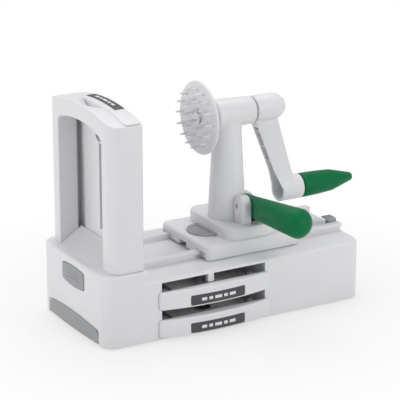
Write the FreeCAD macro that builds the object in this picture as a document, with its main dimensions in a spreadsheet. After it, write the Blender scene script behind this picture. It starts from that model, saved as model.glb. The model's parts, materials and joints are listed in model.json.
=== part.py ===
import FreeCAD, Part
import math
import os
import Sketcher
from FreeCAD import Placement, Rotation, Vector

# Table-top spiral cutter turned by a crank. Millimetres, +Z up, X along the base,
# the blade tower at -X and the crank at +X. The origin is the middle of the base,
# on the surface that it stands on.

# ---------------------------------------------------------------- driving sizes

SIZES = {
    # base housing
    "base_length": 320.0,
    "base_corner": 14.0,
    "end_bow": 3.0,
    "base_gap": 2.0,
    "wall": 3.0,
    "block_top": 81.0,
    "block_length": 52.0,
    "ledge_top": 67.5,
    "roof": 3.0,
    "edge_round": 3.0,
    "deck_top": 70.0,
    "deck_end": 3.5,
    "rail_top": 76.5,
    "rail_reach": 36.5,
    "rail_width": 8.0,
    "rail_lip": 3.0,
    "rail_head": 4.0,
    "cover_thick": 2.0,
    "boss_radius": 4.5,
    "boss_inset": 15.0,
    "screw_radius": 1.5,
    "screw_head": 3.0,
    "foot_radius": 8.0,
    "foot_inset_x": 22.0,
    "foot_inset_y": 13.0,
    # storage bay under the rails
    "bay_start": 16.0,
    "bay_width": 126.0,
    "bay_top": 64.8,
    "upper_store": 44.8,
    "lower_store": 13.8,
    "runner_thick": 2.5,
    "runner_shelf": 11.5,
    # suction foot and its lever
    "cup_start": 34.0,
    "cup_radius": 25.0,
    "cup_height": 3.6,
    "stem_radius": 5.0,
    "stem_top": 27.0,
    "guide_flange": 6.0,
    "yoke_width": 12.0,
    "yoke_thick": 4.0,
    "lever_inset": 17.0,
    "lever_top": 23.5,
    "lever_bottom": 3.5,
    "lever_thick": 3.5,
    "lever_arch": 5.0,
    "hinge_back": 5.0,
    "hinge_height": 8.5,
    "hinge_barrel": 3.3,
    "hinge_pin": 1.2,
    "cam_radius": 3.7,
    "cam_offset": 1.6,
    "cam_width": 12.0,
    # release button of the tower
    "button_middle": -4.0,
    "button_width": 50.0,
    "button_height": 18.0,
    "button_z": 63.0,
    "button_arch": 2.5,
    "button_depth": 9.0,
    "button_proud": 1.0,
    "button_travel": 3.0,
    "latch_engage": 2.5,
    "latch_thick": 3.0,
    "latch_level": 70.0,
    "latch_arm": 4.5,
    # blade tower
    "tower_start": 12.0,
    "tower_depth": 38.0,
    "tower_inset": 3.0,
    "tower_corner": 13.0,
    "tower_round": 4.0,
    "arch_rise": 9.3,
    "window_width": 98.0,
    "window_rise": 8.0,
    "window_corner": 5.0,
    "beam_middle": 17.5,
    "chute_rise": 16.0,
    "foot_rise": 12.6,
    "spring_post": 12.0,
    "post_thick": 3.0,
    "post_width": 10.0,
    "post_drop": 12.0,
    "fork_web": 4.0,
    "tenon_depth": 15.0,
    "tenon_margin": 4.0,
    "tenon_length": 21.0,
    "scoop_width": 52.0,
    "scoop_depth": 10.0,
    "scoop_reach": 14.0,
    # blade cartridge
    "cap_inset": 4.0,
    "cap_high": 10.2,
    "cap_thick": 20.0,
    "cap_corner": 4.0,
    "cap_round": 1.2,
    "panel_length": 143.7,
    "bay_clear": 1.3,
    "panel_width": 80.0,
    "panel_front": 2.0,
    "panel_back": 7.5,
    "guide_width": 112.0,
    "guide_thick": 11.4,
    "web_front": 1.0,
    "web_thick": 4.0,
    "web_width": 100.0,
    "core_radius": 9.0,
    "core_wall": 1.2,
    "slot_width": 9.0,
    "blade_foot": 13.4,
    "blade_top": 38.3,
    "blade_flat": 17.0,
    "comb_width": 12.0,
    "blade_thick": 1.0,
    "blade_rise": 1.9,
    "thick_pitch": 8.0,
    "thin_pitch": 4.0,
    "label_width": 66.0,
    "label_front": 2.8,
    "label_back": 8.6,
    "label_thick": 1.0,
    # carriage
    "plate_left": -25.0,
    "plate_right": 94.0,
    "plate_width": 101.0,
    "plate_top": 84.0,
    "plate_corner": 9.0,
    "plate_skirt": 4.0,
    "keeper_screw": 14.0,
    "pedestal_left": 5.0,
    "pedestal_right": 67.0,
    "pedestal_width": 92.0,
    "pedestal_height": 13.0,
    "pedestal_corner": 14.0,
    "column_x": 30.0,
    "column_foot": 20.8,
    "column_neck": 15.8,
    "core_drop": 25.3,
    "hub_left": 12.0,
    "hub_right": 60.0,
    "hub_big": 17.0,
    "hub_small": 15.0,
    "bush_radius": 8.0,
    "bush_length": 12.0,
    "bush_flange": 1.5,
    "shaft_radius": 5.0,
    "tab_radius": 22.0,
    "tab_depth": 4.0,
    "tab_thick": 3.5,
    "tab_travel": 2.0,
    "spring_seat": 4.5,
    "column_screw": 12.0,
    # pronged wheel
    "wheel_x": -6.0,
    "wheel_radius": 40.0,
    "wheel_thick": 3.5,
    "wheel_boss": 13.0,
    "prong_length": 10.0,
    "prong_radius": 1.5,
    "outer_ring": 32.0,
    "middle_ring": 21.0,
    "inner_ring": 10.5,
    # crank and its grip
    "crank_start": 61.8,
    "crank_nose": 102.0,
    "crank_hub": 14.8,
    "grip_rise": 31.5,
    "arm_thick": 14.0,
    "crank_shoulder": 17.0,
    "cross_pin_x": 8.0,
    "arm_wall": 2.4,
    "arm_top_back": 12.9,
    "hub_pin": 1.5,
    "boss_left": 101.0,
    "boss_right": 122.0,
    "crank_boss": 13.5,
    "axle_radius": 4.0,
    "grip_start": 123.8,
    "grip_length": 68.7,
    "grip_radius": 13.5,
    "grip_tip": 5.0,
    # push handle
    "lug_left": 31.0,
    "lug_right": 54.0,
    "lug_front": -33.0,
    "lug_rise": 43.0,
    "handle_rise": 30.0,
    "handle_tilt": 5.0,
    "handle_length": 105.0,
    "handle_root": 11.8,
    "handle_end": 16.0,
    "handle_core": 4.0,
    "roll_pin": 1.8,
    # stop latch at the end of the rails
    "stop_end": 5.0,
    "stop_length": 8.0,
    "stop_reach": 5.5,
    "stop_middle": -22.8,
    "stop_width": 10.0,
    "stop_top": 81.5,
    "stop_hook": 4.5,
    "stop_depth": 19.5,
    "stop_travel": 10.6,
    "stop_spring": 2.6,
    # fits
    "sliding_gap": 0.3,
    "running_gap": 0.05,
}

doc = FreeCAD.newDocument("SpiralCutter")
sheet = doc.addObject("Spreadsheet::Sheet", "Sizes")
for row, (word, number) in enumerate(SIZES.items(), start=1):
    sheet.set(f"A{row}", word)
    sheet.set(f"B{row}", str(number))
    sheet.setAlias(f"B{row}", word)
doc.recompute()


class Size:
    """A length with its number and the sheet formula that gives it."""

    def __init__(self, number, formula):
        self.number = float(number)
        self.formula = formula

    @staticmethod
    def of(thing):
        if isinstance(thing, Size):
            return thing
        return Size(thing, repr(float(thing)))

    def _with(self, other, sign, number):
        return Size(number, f"({self.formula} {sign} {Size.of(other).formula})")

    def __add__(self, other):
        return self._with(other, "+", self.number + Size.of(other).number)

    def __sub__(self, other):
        return self._with(other, "-", self.number - Size.of(other).number)

    def __mul__(self, other):
        return self._with(other, "*", self.number * Size.of(other).number)

    def __truediv__(self, other):
        return self._with(other, "/", self.number / Size.of(other).number)

    def __radd__(self, other):
        return Size.of(other) + self

    def __rsub__(self, other):
        return Size.of(other) - self

    def __rmul__(self, other):
        return Size.of(other) * self

    def __neg__(self):
        return Size(-self.number, f"(0 - {self.formula})")

    def root(self):
        return Size(math.sqrt(self.number), f"sqrt({self.formula})")


class Sheet:
    """Each size of the sheet, by its word."""

    def __init__(self):
        for word in SIZES:
            setattr(self, word, Size(getattr(sheet, word), f"Sizes.{word}"))


s = Sheet()


def number(thing):
    return Size.of(thing).number


def bind(thing, prop, size):
    """Set a property of an object, from the sheet where its size is there."""
    if isinstance(size, Size):
        thing.setExpression(prop, size.formula)
    else:
        setattr(thing, prop, size)


def arc_drop(radius, across):
    """How far an arc falls below its top, at a distance across from it."""
    return radius - (radius * radius - across * across).root()


def bow_radius(half, bow):
    return (half * half + bow * bow) / (2 * bow)


# ---------------------------------------------------------------- sketches and bodies

KEPT = []


def keep(thing, node):
    thing.Label = node
    KEPT.append(thing)
    return thing


def new_body(name):
    return doc.addObject("PartDesign::Body", name)


def new_sketch(body, plane, offset=0.0):
    sketch = body.newObject("Sketcher::SketchObject", body.Name + "_sketch")
    origin_plane = [f for f in body.Origin.OriginFeatures if f.Role == plane + "_Plane"][0]
    sketch.AttachmentSupport = [(origin_plane, "")]
    sketch.MapMode = "FlatFace"
    sketch.AttachmentOffset = Placement(Vector(0, 0, number(offset)), Rotation())
    if isinstance(offset, Size):
        sketch.setExpression("AttachmentOffset.Base.z", offset.formula)
    return sketch


def pin_point(sketch, geometry, place, x, y):
    """Fix one point of a sketch at x, y from its origin."""
    for kind, size, axis in (("DistanceX", x, -2), ("DistanceY", y, -1)):
        if number(size) == 0 and not isinstance(size, Size):
            sketch.addConstraint(Sketcher.Constraint("PointOnObject", geometry, place, axis))
            continue
        index = sketch.addConstraint(
            Sketcher.Constraint(kind, -1, 1, geometry, place, number(size)))
        if isinstance(size, Size):
            sketch.setExpression(f"Constraints[{index}]", size.formula)


def draw_outline(sketch, corners):
    """Draw a closed outline. A corner is (x, y), or (x, y, radius) where the side after
    it is an arc: a positive radius bulges to the right of the way round, a negative one
    to the left."""
    count = len(corners)
    ends = []
    for i, corner in enumerate(corners):
        after = corners[(i + 1) % count]
        start = Vector(number(corner[0]), number(corner[1]), 0)
        end = Vector(number(after[0]), number(after[1]), 0)
        if len(corner) == 2:
            geometry = sketch.addGeometry(Part.LineSegment(start, end), False)
            ends.append((geometry, 1, 2))
            continue
        radius = abs(number(corner[2]))
        bulge = 1 if number(corner[2]) > 0 else -1
        chord = end - start
        left = Vector(-chord.y, chord.x, 0).normalize()
        rise = math.sqrt(max(radius ** 2 - (chord.Length / 2) ** 2, 0))
        centre = (start + end) * 0.5 + left * (rise * bulge)
        first, last = (start, end) if bulge > 0 else (end, start)
        circle = Part.Circle(centre, Vector(0, 0, 1), radius)
        angles = [math.atan2(p.y - centre.y, p.x - centre.x) for p in (first, last)]
        geometry = sketch.addGeometry(Part.ArcOfCircle(circle, *angles), False)
        ends.append((geometry, 1, 2) if bulge > 0 else (geometry, 2, 1))
        index = sketch.addConstraint(Sketcher.Constraint("Radius", geometry, radius))
        if isinstance(corner[2], Size):
            size = corner[2] if bulge > 0 else -corner[2]
            sketch.setExpression(f"Constraints[{index}]", size.formula)
    for i, corner in enumerate(corners):
        before = ends[i - 1]
        sketch.addConstraint(
            Sketcher.Constraint("Coincident", before[0], before[2], ends[i][0], ends[i][1]))
        pin_point(sketch, ends[i][0], ends[i][1], corner[0], corner[1])


def draw_circle(sketch, x, y, radius):
    circle = Part.Circle(Vector(number(x), number(y), 0), Vector(0, 0, 1), number(radius))
    geometry = sketch.addGeometry(circle, False)
    index = sketch.addConstraint(Sketcher.Constraint("Radius", geometry, number(radius)))
    if isinstance(radius, Size):
        sketch.setExpression(f"Constraints[{index}]", radius.formula)
    pin_point(sketch, geometry, 3, x, y)


def rectangle(x0, x1, y0, y1):
    return [(x0, y0), (x1, y0), (x1, y1), (x0, y1)]


def swept(body, kind, sketch, length, reverse=False, both=False):
    feature = body.newObject("PartDesign::" + kind, body.Name + "_" + kind.lower())
    feature.Profile = sketch
    bind(feature, "Length", length)
    feature.Reversed = reverse
    feature.Midplane = both
    sketch.Visibility = False
    return feature


def pad(body, plane, offset, corners, length, **ways):
    sketch = new_sketch(body, plane, offset)
    draw_outline(sketch, corners)
    return swept(body, "Pad", sketch, length, **ways)


def pocket(body, plane, offset, corners, length, **ways):
    sketch = new_sketch(body, plane, offset)
    draw_outline(sketch, corners)
    return swept(body, "Pocket", sketch, length, **ways)


def round_pad(body, plane, offset, circles, length, **ways):
    sketch = new_sketch(body, plane, offset)
    for circle in circles:
        draw_circle(sketch, *circle)
    return swept(body, "Pad", sketch, length, **ways)


def round_pocket(body, plane, offset, circles, length, **ways):
    sketch = new_sketch(body, plane, offset)
    for circle in circles:
        draw_circle(sketch, *circle)
    return swept(body, "Pocket", sketch, length, **ways)


def revolve(body, corners, plane="XZ", axis="H_Axis", cut=False, offset=0.0, shift=None):
    """Turn an outline about the sketch's own horizontal or vertical axis."""
    sketch = new_sketch(body, plane, offset)
    if shift:
        sketch.AttachmentOffset.Base.x = shift.number
        sketch.setExpression("AttachmentOffset.Base.x", shift.formula)
    draw_outline(sketch, corners)
    kind = "Groove" if cut else "Revolution"
    feature = body.newObject("PartDesign::" + kind, body.Name + "_" + kind.lower())
    feature.Profile = sketch
    feature.ReferenceAxis = (sketch, [axis])
    feature.Angle = 360
    sketch.Visibility = False
    return feature


def soften(body, radius, wanted):
    """Round the edges of a body that the test accepts."""
    doc.recompute()
    base = body.Tip
    names = [f"Edge{i}" for i, edge in enumerate(base.Shape.Edges, start=1) if wanted(edge)]
    feature = body.newObject("PartDesign::Fillet", body.Name + "_round")
    feature.Base = (base, names)
    bind(feature, "Radius", radius)
    return feature


def upright(edge):
    box = edge.BoundBox
    return box.XLength < 0.01 and box.YLength < 0.01 and box.ZLength > 1


def level_at(height):
    def wanted(edge):
        box = edge.BoundBox
        return abs(box.ZMin - number(height)) < 0.01 and abs(box.ZMax - number(height)) < 0.01
    return wanted


# ---------------------------------------------------------------- primitives

TURNS = {
    "+X": Rotation(Vector(0, 1, 0), 90),
    "-X": Rotation(Vector(0, 1, 0), -90),
    "+Y": Rotation(Vector(1, 0, 0), -90),
    "-Y": Rotation(Vector(1, 0, 0), 90),
    "+Z": Rotation(),
    "-Z": Rotation(Vector(1, 0, 0), 180),
    "spike": Rotation(Vector(0, 0, 1), 90),
    # a cartridge pushed into the storage bay: its cap to the front, its blade down
    "stored": Rotation(Vector(0, 0, -1), Vector(1, 0, 0), Vector(0, -1, 0), "XYZ"),
}


def set_place(thing, x, y, z, way="+Z"):
    thing.Placement = Placement(Vector(number(x), number(y), number(z)), TURNS[way])
    for axis, size in zip("xyz", (x, y, z)):
        if isinstance(size, Size):
            thing.setExpression(f"Placement.Base.{axis}", size.formula)
    return thing


def rod(name, radius, length, place, way="+Z"):
    thing = doc.addObject("Part::Cylinder", name)
    bind(thing, "Radius", radius)
    bind(thing, "Height", length)
    return set_place(thing, *place, way)


def cone(name, radius, top_radius, length, place, way="+Z"):
    thing = doc.addObject("Part::Cone", name)
    bind(thing, "Radius1", radius)
    bind(thing, "Radius2", top_radius)
    bind(thing, "Height", length)
    return set_place(thing, *place, way)


def spike(name, half, tip, length, place):
    """A four-sided spike that points to -X, with a flat tip."""
    thing = doc.addObject("Part::Wedge", name)
    for low, high, size in (("Xmin", "Xmax", half), ("Zmin", "Zmax", half),
                            ("X2min", "X2max", tip), ("Z2min", "Z2max", tip)):
        bind(thing, low, -size)
        bind(thing, high, size)
    thing.Ymin = 0
    bind(thing, "Ymax", length)
    return set_place(thing, *place, "spike")


def block(name, x0, x1, y0, y1, z0, z1):
    thing = doc.addObject("Part::Box", name)
    bind(thing, "Length", x1 - x0)
    bind(thing, "Width", y1 - y0)
    bind(thing, "Height", z1 - z0)
    return set_place(thing, x0, y0, z0)


def fuse(name, things):
    thing = doc.addObject("Part::MultiFuse", name)
    thing.Shapes = things
    thing.Refine = True
    return thing


def cut(name, base, tools):
    thing = doc.addObject("Part::Cut", name)
    thing.Base = base
    thing.Tool = tools[0] if len(tools) == 1 else fuse(name + "_tools", tools)
    return thing


def group(name, things):
    thing = doc.addObject("Part::Compound", name)
    thing.Links = things
    return thing


def washer(name, outer, inner, length, place, way="+Z"):
    disc = rod(name + "_disc", outer, length, place, way)
    hole = rod(name + "_hole", inner, length, place, way)
    return cut(name, disc, [hole])


def screw(name, shank, head, length, head_high, place, way):
    """A screw whose head stands at place, with its shank the given way from there."""
    back = {"+X": "-X", "-X": "+X", "+Y": "-Y", "-Y": "+Y", "+Z": "-Z", "-Z": "+Z"}[way]
    body = rod(name + "_shank", shank, length, place, way)
    cap = rod(name + "_head", head, head_high, place, back)
    return fuse(name, [body, cap])


def spring(node, radius, wire, turns, start, end):
    """A coil spring of hexagonal wire between two points of one line."""
    axis = end - start
    length = axis.Length - 2 * wire
    per_turn, sides = 14, 6
    steps = per_turn * turns
    rings = []
    for i in range(steps + 1):
        angle = 2 * math.pi * i / per_turn
        out = Vector(math.cos(angle), math.sin(angle), 0)
        middle = out * (radius - wire) + Vector(0, 0, wire + length * i / steps)
        rings.append([middle + out * (wire * math.cos(2 * math.pi * k / sides))
                      + Vector(0, 0, wire * math.sin(2 * math.pi * k / sides)) for k in range(sides)])
    faces = [Part.Face(Part.makePolygon(ring + ring[:1])) for ring in (rings[0], rings[-1])]
    for near, far in zip(rings, rings[1:]):
        for k in range(sides):
            after = (k + 1) % sides
            for corners in ((near[k], near[after], far[after]), (near[k], far[after], far[k])):
                faces.append(Part.Face(Part.makePolygon([*corners, corners[0]])))
    coil = Part.Solid(Part.makeShell(faces))
    thing = doc.addObject("Part::Feature", node)
    thing.Shape = coil.reversed() if coil.Volume < 0 else coil
    thing.Placement = Placement(start, Rotation(Vector(0, 0, 1), axis))
    return keep(thing, node)


# ---------------------------------------------------------------- shared places

GAP = s.sliding_gap
HALF_LENGTH = s.base_length / 2
# the base is as wide as the stored cartridges are long, with a wall behind them
HALF_WIDTH = (s.panel_length + s.wall + s.bay_clear) / 2
HALF_LEVER = HALF_WIDTH - s.lever_inset
BLOCK_END = s.block_length - HALF_LENGTH
CAVITY_TOP = s.ledge_top - s.roof
COVER_TOP = s.base_gap + s.cover_thick
BAY_LEFT = BLOCK_END + s.bay_start
BAY_RIGHT = BAY_LEFT + s.bay_width
BAY_MIDDLE = (BAY_LEFT + BAY_RIGHT) / 2
CUP_X = s.cup_start - HALF_LENGTH
TOWER_FRONT = s.tower_start - HALF_LENGTH
TOWER_BACK = TOWER_FRONT + s.tower_depth
STOP_RIGHT = HALF_LENGTH - s.stop_end
STOP_LEFT = STOP_RIGHT - s.stop_length
STOP_TIP = STOP_LEFT - s.stop_reach
HALF_TOWER = HALF_WIDTH - s.tower_inset
ARCH = bow_radius(HALF_TOWER, s.arch_rise)
TENON_Y = s.window_width / 4 + HALF_TOWER / 2
# each tenon stands in the middle of its leg, and its notch is half as wide
HALF_TENON = HALF_TOWER / 2 - s.window_width / 4 - s.tenon_margin
SOCKET = HALF_TENON + GAP
HALF_NOTCH = HALF_TENON / 2
TENON_X = (TOWER_FRONT + TOWER_BACK) / 2
PANEL_X = TOWER_BACK - s.cap_thick / 2
CHUTE_TOP = s.block_top + s.chute_rise
# the cartridge stands on FOOT_LEVEL, and its cap hangs from SEAT
FOOT_LEVEL = s.block_top + s.foot_rise
SEAT = FOOT_LEVEL + s.panel_length
APEX = SEAT + s.cap_high
CRANK_HEIGHT = SEAT - s.core_drop
GRIP_HEIGHT = s.plate_top + s.grip_rise
HANDLE_HEIGHT = s.plate_top + s.handle_rise
HINGE_X = s.hinge_back - HALF_LENGTH
LATCH_BACK = TENON_X + s.tenon_length / 2
LATCH_ARM = s.window_width / 2
POST_X = TOWER_FRONT + s.spring_post
RAIL_INNER = s.rail_reach - s.rail_width


def base_outline():
    """The base in plan, with bowed ends."""
    far = HALF_LENGTH - s.end_bow
    bow = bow_radius(HALF_WIDTH, s.end_bow)
    return [(-far, -HALF_WIDTH), (far, -HALF_WIDTH, bow), (far, HALF_WIDTH), (-far, HALF_WIDTH, bow)]


def hollow_outline(inset):
    """The room inside the base in plan, its corners cut off behind the round ones."""
    corner = s.base_corner * 0.6
    bow = bow_radius(HALF_WIDTH, s.end_bow)
    side = HALF_WIDTH - inset
    near = side - corner
    end = HALF_LENGTH - inset - arc_drop(bow, near)
    return [(-end + corner, -side), (end - corner, -side), (end, -near, bow), (end, near),
            (end - corner, side), (-end + corner, side), (-end, near, bow), (-end, -near)]


def cover_bosses():
    """Where the screws of the bottom cover stand."""
    x = HALF_LENGTH - s.foot_inset_x - s.foot_radius - 6
    y = HALF_WIDTH - s.boss_inset
    middle = BAY_RIGHT + s.boss_inset
    left = BAY_LEFT - s.boss_inset + 5.5
    return [(x, y), (x, -y), (middle, y), (middle, -y), (left, y), (left, -y)]


# ---------------------------------------------------------------- base housing

def make_housing():
    body = new_body("base_housing")
    pad(body, "XY", s.base_gap, base_outline(), s.block_top - s.base_gap)
    soften(body, s.base_corner, upright)
    # the low part of the base, right of the tower
    pocket(body, "XY", s.block_top,
           rectangle(BLOCK_END, HALF_LENGTH + 1, -HALF_WIDTH - 1, HALF_WIDTH + 1),
           s.block_top - s.ledge_top)
    soften(body, s.edge_round, outer_top_edge)
    # deck with its two undercut rails, drawn across the base
    head = s.rail_top - s.rail_head
    neck = s.rail_reach - s.rail_lip
    low = s.ledge_top - s.roof / 2
    half = [(neck, low), (neck, head), (s.rail_reach, head), (s.rail_reach, s.rail_top),
            (RAIL_INNER, s.rail_top), (RAIL_INNER, s.deck_top)]
    section = half + [(-y, z) for y, z in reversed(half)]
    deck_length = s.base_length - s.deck_end - s.block_length + 1
    pad(body, "YZ", BLOCK_END - 1, section, deck_length)
    # chute that rises to the blade between the legs of the tower
    chute_half = s.window_width / 2 - GAP
    nose = TOWER_FRONT + 0.5
    back = PANEL_X - s.panel_front - 2 * GAP
    foot = FOOT_LEVEL - GAP
    pad(body, "XZ", -chute_half,
        [(nose, s.block_top - 1), (TOWER_BACK, s.block_top - 1), (TOWER_BACK, foot), (back, foot),
         (back, CHUTE_TOP), (nose, s.block_top)], chute_half * 2)
    # hollow from below, deeper under the block
    pocket(body, "XY", s.base_gap, hollow_outline(s.wall), CAVITY_TOP - s.base_gap, reverse=True)
    far = HALF_LENGTH - s.end_bow - s.wall - 2
    deep = s.block_top - s.wall
    pocket(body, "XY", CAVITY_TOP - 1,
           rectangle(-far, BLOCK_END - s.wall, s.wall + 3 - HALF_WIDTH, HALF_WIDTH - s.wall - 3),
           deep - CAVITY_TOP + 1, reverse=True)
    # storage mouth in the front wall, with a post that keeps the upper blade down
    pocket(body, "XZ", HALF_WIDTH + 1,
           rectangle(BAY_LEFT, BAY_RIGHT, COVER_TOP + GAP, s.bay_top - GAP), s.wall + 2)
    post_low = s.upper_store + s.cap_thick / 2 + 2 * GAP
    pad(body, "XY", post_low, rectangle(BAY_MIDDLE - 7, BAY_MIDDLE, 0.5 - HALF_WIDTH, 6 - HALF_WIDTH),
        CAVITY_TOP + 1 - post_low)
    # windows for the button and the suction lever in the left end
    half_button = s.button_width / 2 + GAP
    low_button = s.button_z - s.button_height / 2 - GAP
    high_button = s.button_z + s.button_height / 2 + GAP
    bulge = bow_radius(half_button, s.button_arch)
    pocket(body, "YZ", -HALF_LENGTH - 1,
           [(s.button_middle - half_button, low_button, bulge), (s.button_middle + half_button, low_button),
            (s.button_middle + half_button, high_button, bulge),
            (s.button_middle - half_button, high_button)], s.button_depth + s.button_travel + 2, reverse=True)
    half_lever = HALF_LEVER + GAP
    high_lever = s.lever_top - s.lever_arch + GAP
    pocket(body, "YZ", -HALF_LENGTH - 1,
           [(-half_lever, s.base_gap - 1), (half_lever, s.base_gap - 1),
            (half_lever, high_lever, bow_radius(half_lever, s.lever_arch)), (-half_lever, high_lever)],
           s.wall + s.end_bow + 2, reverse=True)
    # sockets for the tenons of the tower
    for side in (-1, 1):
        middle = TENON_Y * side
        pocket(body, "XY", s.block_top + 1,
               rectangle(TENON_X - s.tenon_length / 2 - GAP, TENON_X + s.tenon_length / 2 + GAP,
                         middle - SOCKET, middle + SOCKET), s.wall + 2)
    # post behind the spring of the button
    half_post = s.post_width / 2
    pad(body, "XY", s.latch_level - s.post_drop,
        rectangle(POST_X, POST_X + s.post_thick, s.button_middle - half_post, s.button_middle + half_post),
        s.block_top - s.latch_level + s.post_drop - 1)
    # bearings for the pin of the suction lever, just past the ends of its window
    bearing = s.wall + 2
    for side in (-1, 1):
        start = -half_lever if side > 0 else half_lever
        pad(body, "XZ", start,
            rectangle(HINGE_X - 2, HINGE_X + s.hinge_barrel, s.hinge_height - s.hinge_barrel,
                      s.hinge_height + s.hinge_barrel), bearing, reverse=side > 0)
    round_pocket(body, "XZ", half_lever + bearing, [(HINGE_X, s.hinge_height, s.hinge_pin)],
                 (half_lever + bearing) * 2)
    # well for the stop latch
    well_wall = 2.0
    well_low = s.stop_top - s.stop_depth - s.stop_travel - well_wall
    near = s.stop_middle - s.stop_width / 2 - GAP
    far_side = s.stop_middle + s.stop_width / 2 + GAP
    pad(body, "XY", well_low,
        rectangle(STOP_LEFT - GAP - well_wall, HALF_LENGTH - s.wall - 0.5,
                  near - well_wall, far_side + well_wall), s.deck_top - well_low)
    pocket(body, "XY", s.deck_top + 1,
           rectangle(STOP_LEFT - GAP, STOP_RIGHT + GAP, near, far_side),
           s.deck_top + 1 - well_low - well_wall)
    pocket(body, "XY", s.deck_top + 1, rectangle(STOP_TIP - GAP, STOP_LEFT, near, far_side),
           s.deck_top + 1 + s.stop_hook + s.stop_travel + GAP - s.stop_top)
    # bosses for the screws of the cover
    for x, y in cover_bosses():
        round_pad(body, "XY", COVER_TOP, [(x, y, s.boss_radius)], CAVITY_TOP + 0.5 - COVER_TOP)
        round_pocket(body, "XY", COVER_TOP, [(x, y, s.screw_radius)], 12, reverse=True)
    return keep(body, "base_housing")


def outer_top_edge(edge):
    """The rim of the block and of the ledge, on the outside of the base."""
    box = edge.BoundBox
    flat = box.ZLength < 0.01
    high = abs(box.ZMax - SIZES["block_top"]) < 0.01 or abs(box.ZMax - SIZES["ledge_top"]) < 0.01
    step = box.XLength < 0.01 and abs(box.XMax - BLOCK_END.number) < 0.01
    return flat and high and not step


# ---------------------------------------------------------------- the rest of the base

def make_cover():
    body = new_body("bottom_cover")
    pad(body, "XY", s.base_gap, hollow_outline(s.wall + GAP), s.cover_thick)
    half_lever = HALF_LEVER + s.wall + 4
    pocket(body, "XY", COVER_TOP,
           rectangle(-HALF_LENGTH, HINGE_X + s.hinge_barrel + 2.5, -half_lever, half_lever), s.cover_thick)
    round_pocket(body, "XY", COVER_TOP, [(CUP_X, 0.0, s.cup_radius + 1)], s.cover_thick)
    head_high = s.cover_thick * 0.6
    for x, y in cover_bosses():
        round_pocket(body, "XY", COVER_TOP, [(x, y, s.screw_radius + 0.2)], s.cover_thick)
        round_pocket(body, "XY", s.base_gap, [(x, y, s.screw_head + 0.2)], head_high, reverse=True)
    keep(body, "bottom_cover")
    screws = [screw(f"cover_screw_{i}", s.screw_radius, s.screw_head, 9.0, head_high,
                    (x, y, s.base_gap + head_high), "+Z") for i, (x, y) in enumerate(cover_bosses())]
    keep(group("cover_screws", screws), "cover_screws")
    feet = []
    for x in (-1, 1):
        for y in (-1, 1):
            place = ((HALF_LENGTH - s.foot_inset_x) * x, (HALF_WIDTH - s.foot_inset_y) * y, 0.0)
            feet.append(cone(f"foot_{x}_{y}", s.foot_radius - 0.8, s.foot_radius, s.base_gap, place))
    keep(group("rubber_feet", feet), "rubber_feet")


def make_runner(node, wall_x, inward):
    """A rail that carries one side of both stored cartridges."""
    body = new_body(node)
    back = wall_x - s.runner_thick * inward
    tip = wall_x + s.runner_shelf * inward
    corners = [(back, COVER_TOP), (wall_x, COVER_TOP)]
    for level in (s.lower_store, s.upper_store):
        shelf = level - s.guide_thick / 2 - GAP
        corners += [(wall_x, shelf - 1.5), (tip, shelf - 1), (tip, shelf), (wall_x, shelf)]
    corners += [(wall_x, CAVITY_TOP), (back, CAVITY_TOP)]
    if inward < 0:
        corners.reverse()
    reach = HALF_WIDTH - s.wall - 1
    pad(body, "XZ", -reach, corners, reach * 2)
    keep(body, node)


def make_suction():
    cup = new_body("suction_cup")
    inner = s.cup_radius - 1.5
    high = s.cup_height
    revolve(cup, [(0.0, high - 2.2), (s.cup_radius * 0.6, high - 2.6), (inner, 0.0), (s.cup_radius, 0.0),
                  (s.cup_radius, 0.8), (s.cup_radius * 0.52, high - 0.6), (s.cup_radius * 0.42, high),
                  (0.0, high)], axis="V_Axis")
    keep(set_place(cup, CUP_X, 0.0, 0.0), "suction_cup")

    stem = new_body("suction_stem")
    disc = s.stem_radius * 2
    revolve(stem, [(0.0, high), (disc, high), (disc, high + 1.5), (s.stem_radius, high + 2.5),
                   (s.stem_radius, s.stem_top), (0.0, s.stem_top)], axis="V_Axis")
    yoke_low = s.hinge_height + s.cam_radius + GAP
    reach = CUP_X - HINGE_X + 1
    pad(stem, "XY", yoke_low, rectangle(-reach, s.stem_radius, -s.yoke_width / 2, s.yoke_width / 2),
        s.yoke_thick)
    keep(set_place(stem, CUP_X, 0.0, 0.0), "suction_stem")

    guide = new_body("stem_guide")
    inside = s.cup_radius + 3
    wide = inside + 2.5
    flange = wide + s.guide_flange
    under = yoke_low + s.yoke_thick + 3.5
    top = s.stem_top - 4
    pad(guide, "YZ", -s.stem_radius * 2,
        [(-flange, COVER_TOP), (-inside, COVER_TOP), (-inside, under), (inside, under), (inside, COVER_TOP),
         (flange, COVER_TOP), (flange, COVER_TOP + 2), (wide, COVER_TOP + 2), (wide, top), (-wide, top),
         (-wide, COVER_TOP + 2), (-flange, COVER_TOP + 2)], s.stem_radius * 4)
    round_pocket(guide, "XY", top, [(0.0, 0.0, s.stem_radius + s.running_gap)], top - under + 1)
    keep(set_place(guide, CUP_X, 0.0, 0.0), "stem_guide")

    clip = washer("stem_clip", s.stem_radius + 2.5, s.stem_radius, 1.2, (CUP_X, 0.0, top + GAP))
    keep(clip, "stem_clip")


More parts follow.
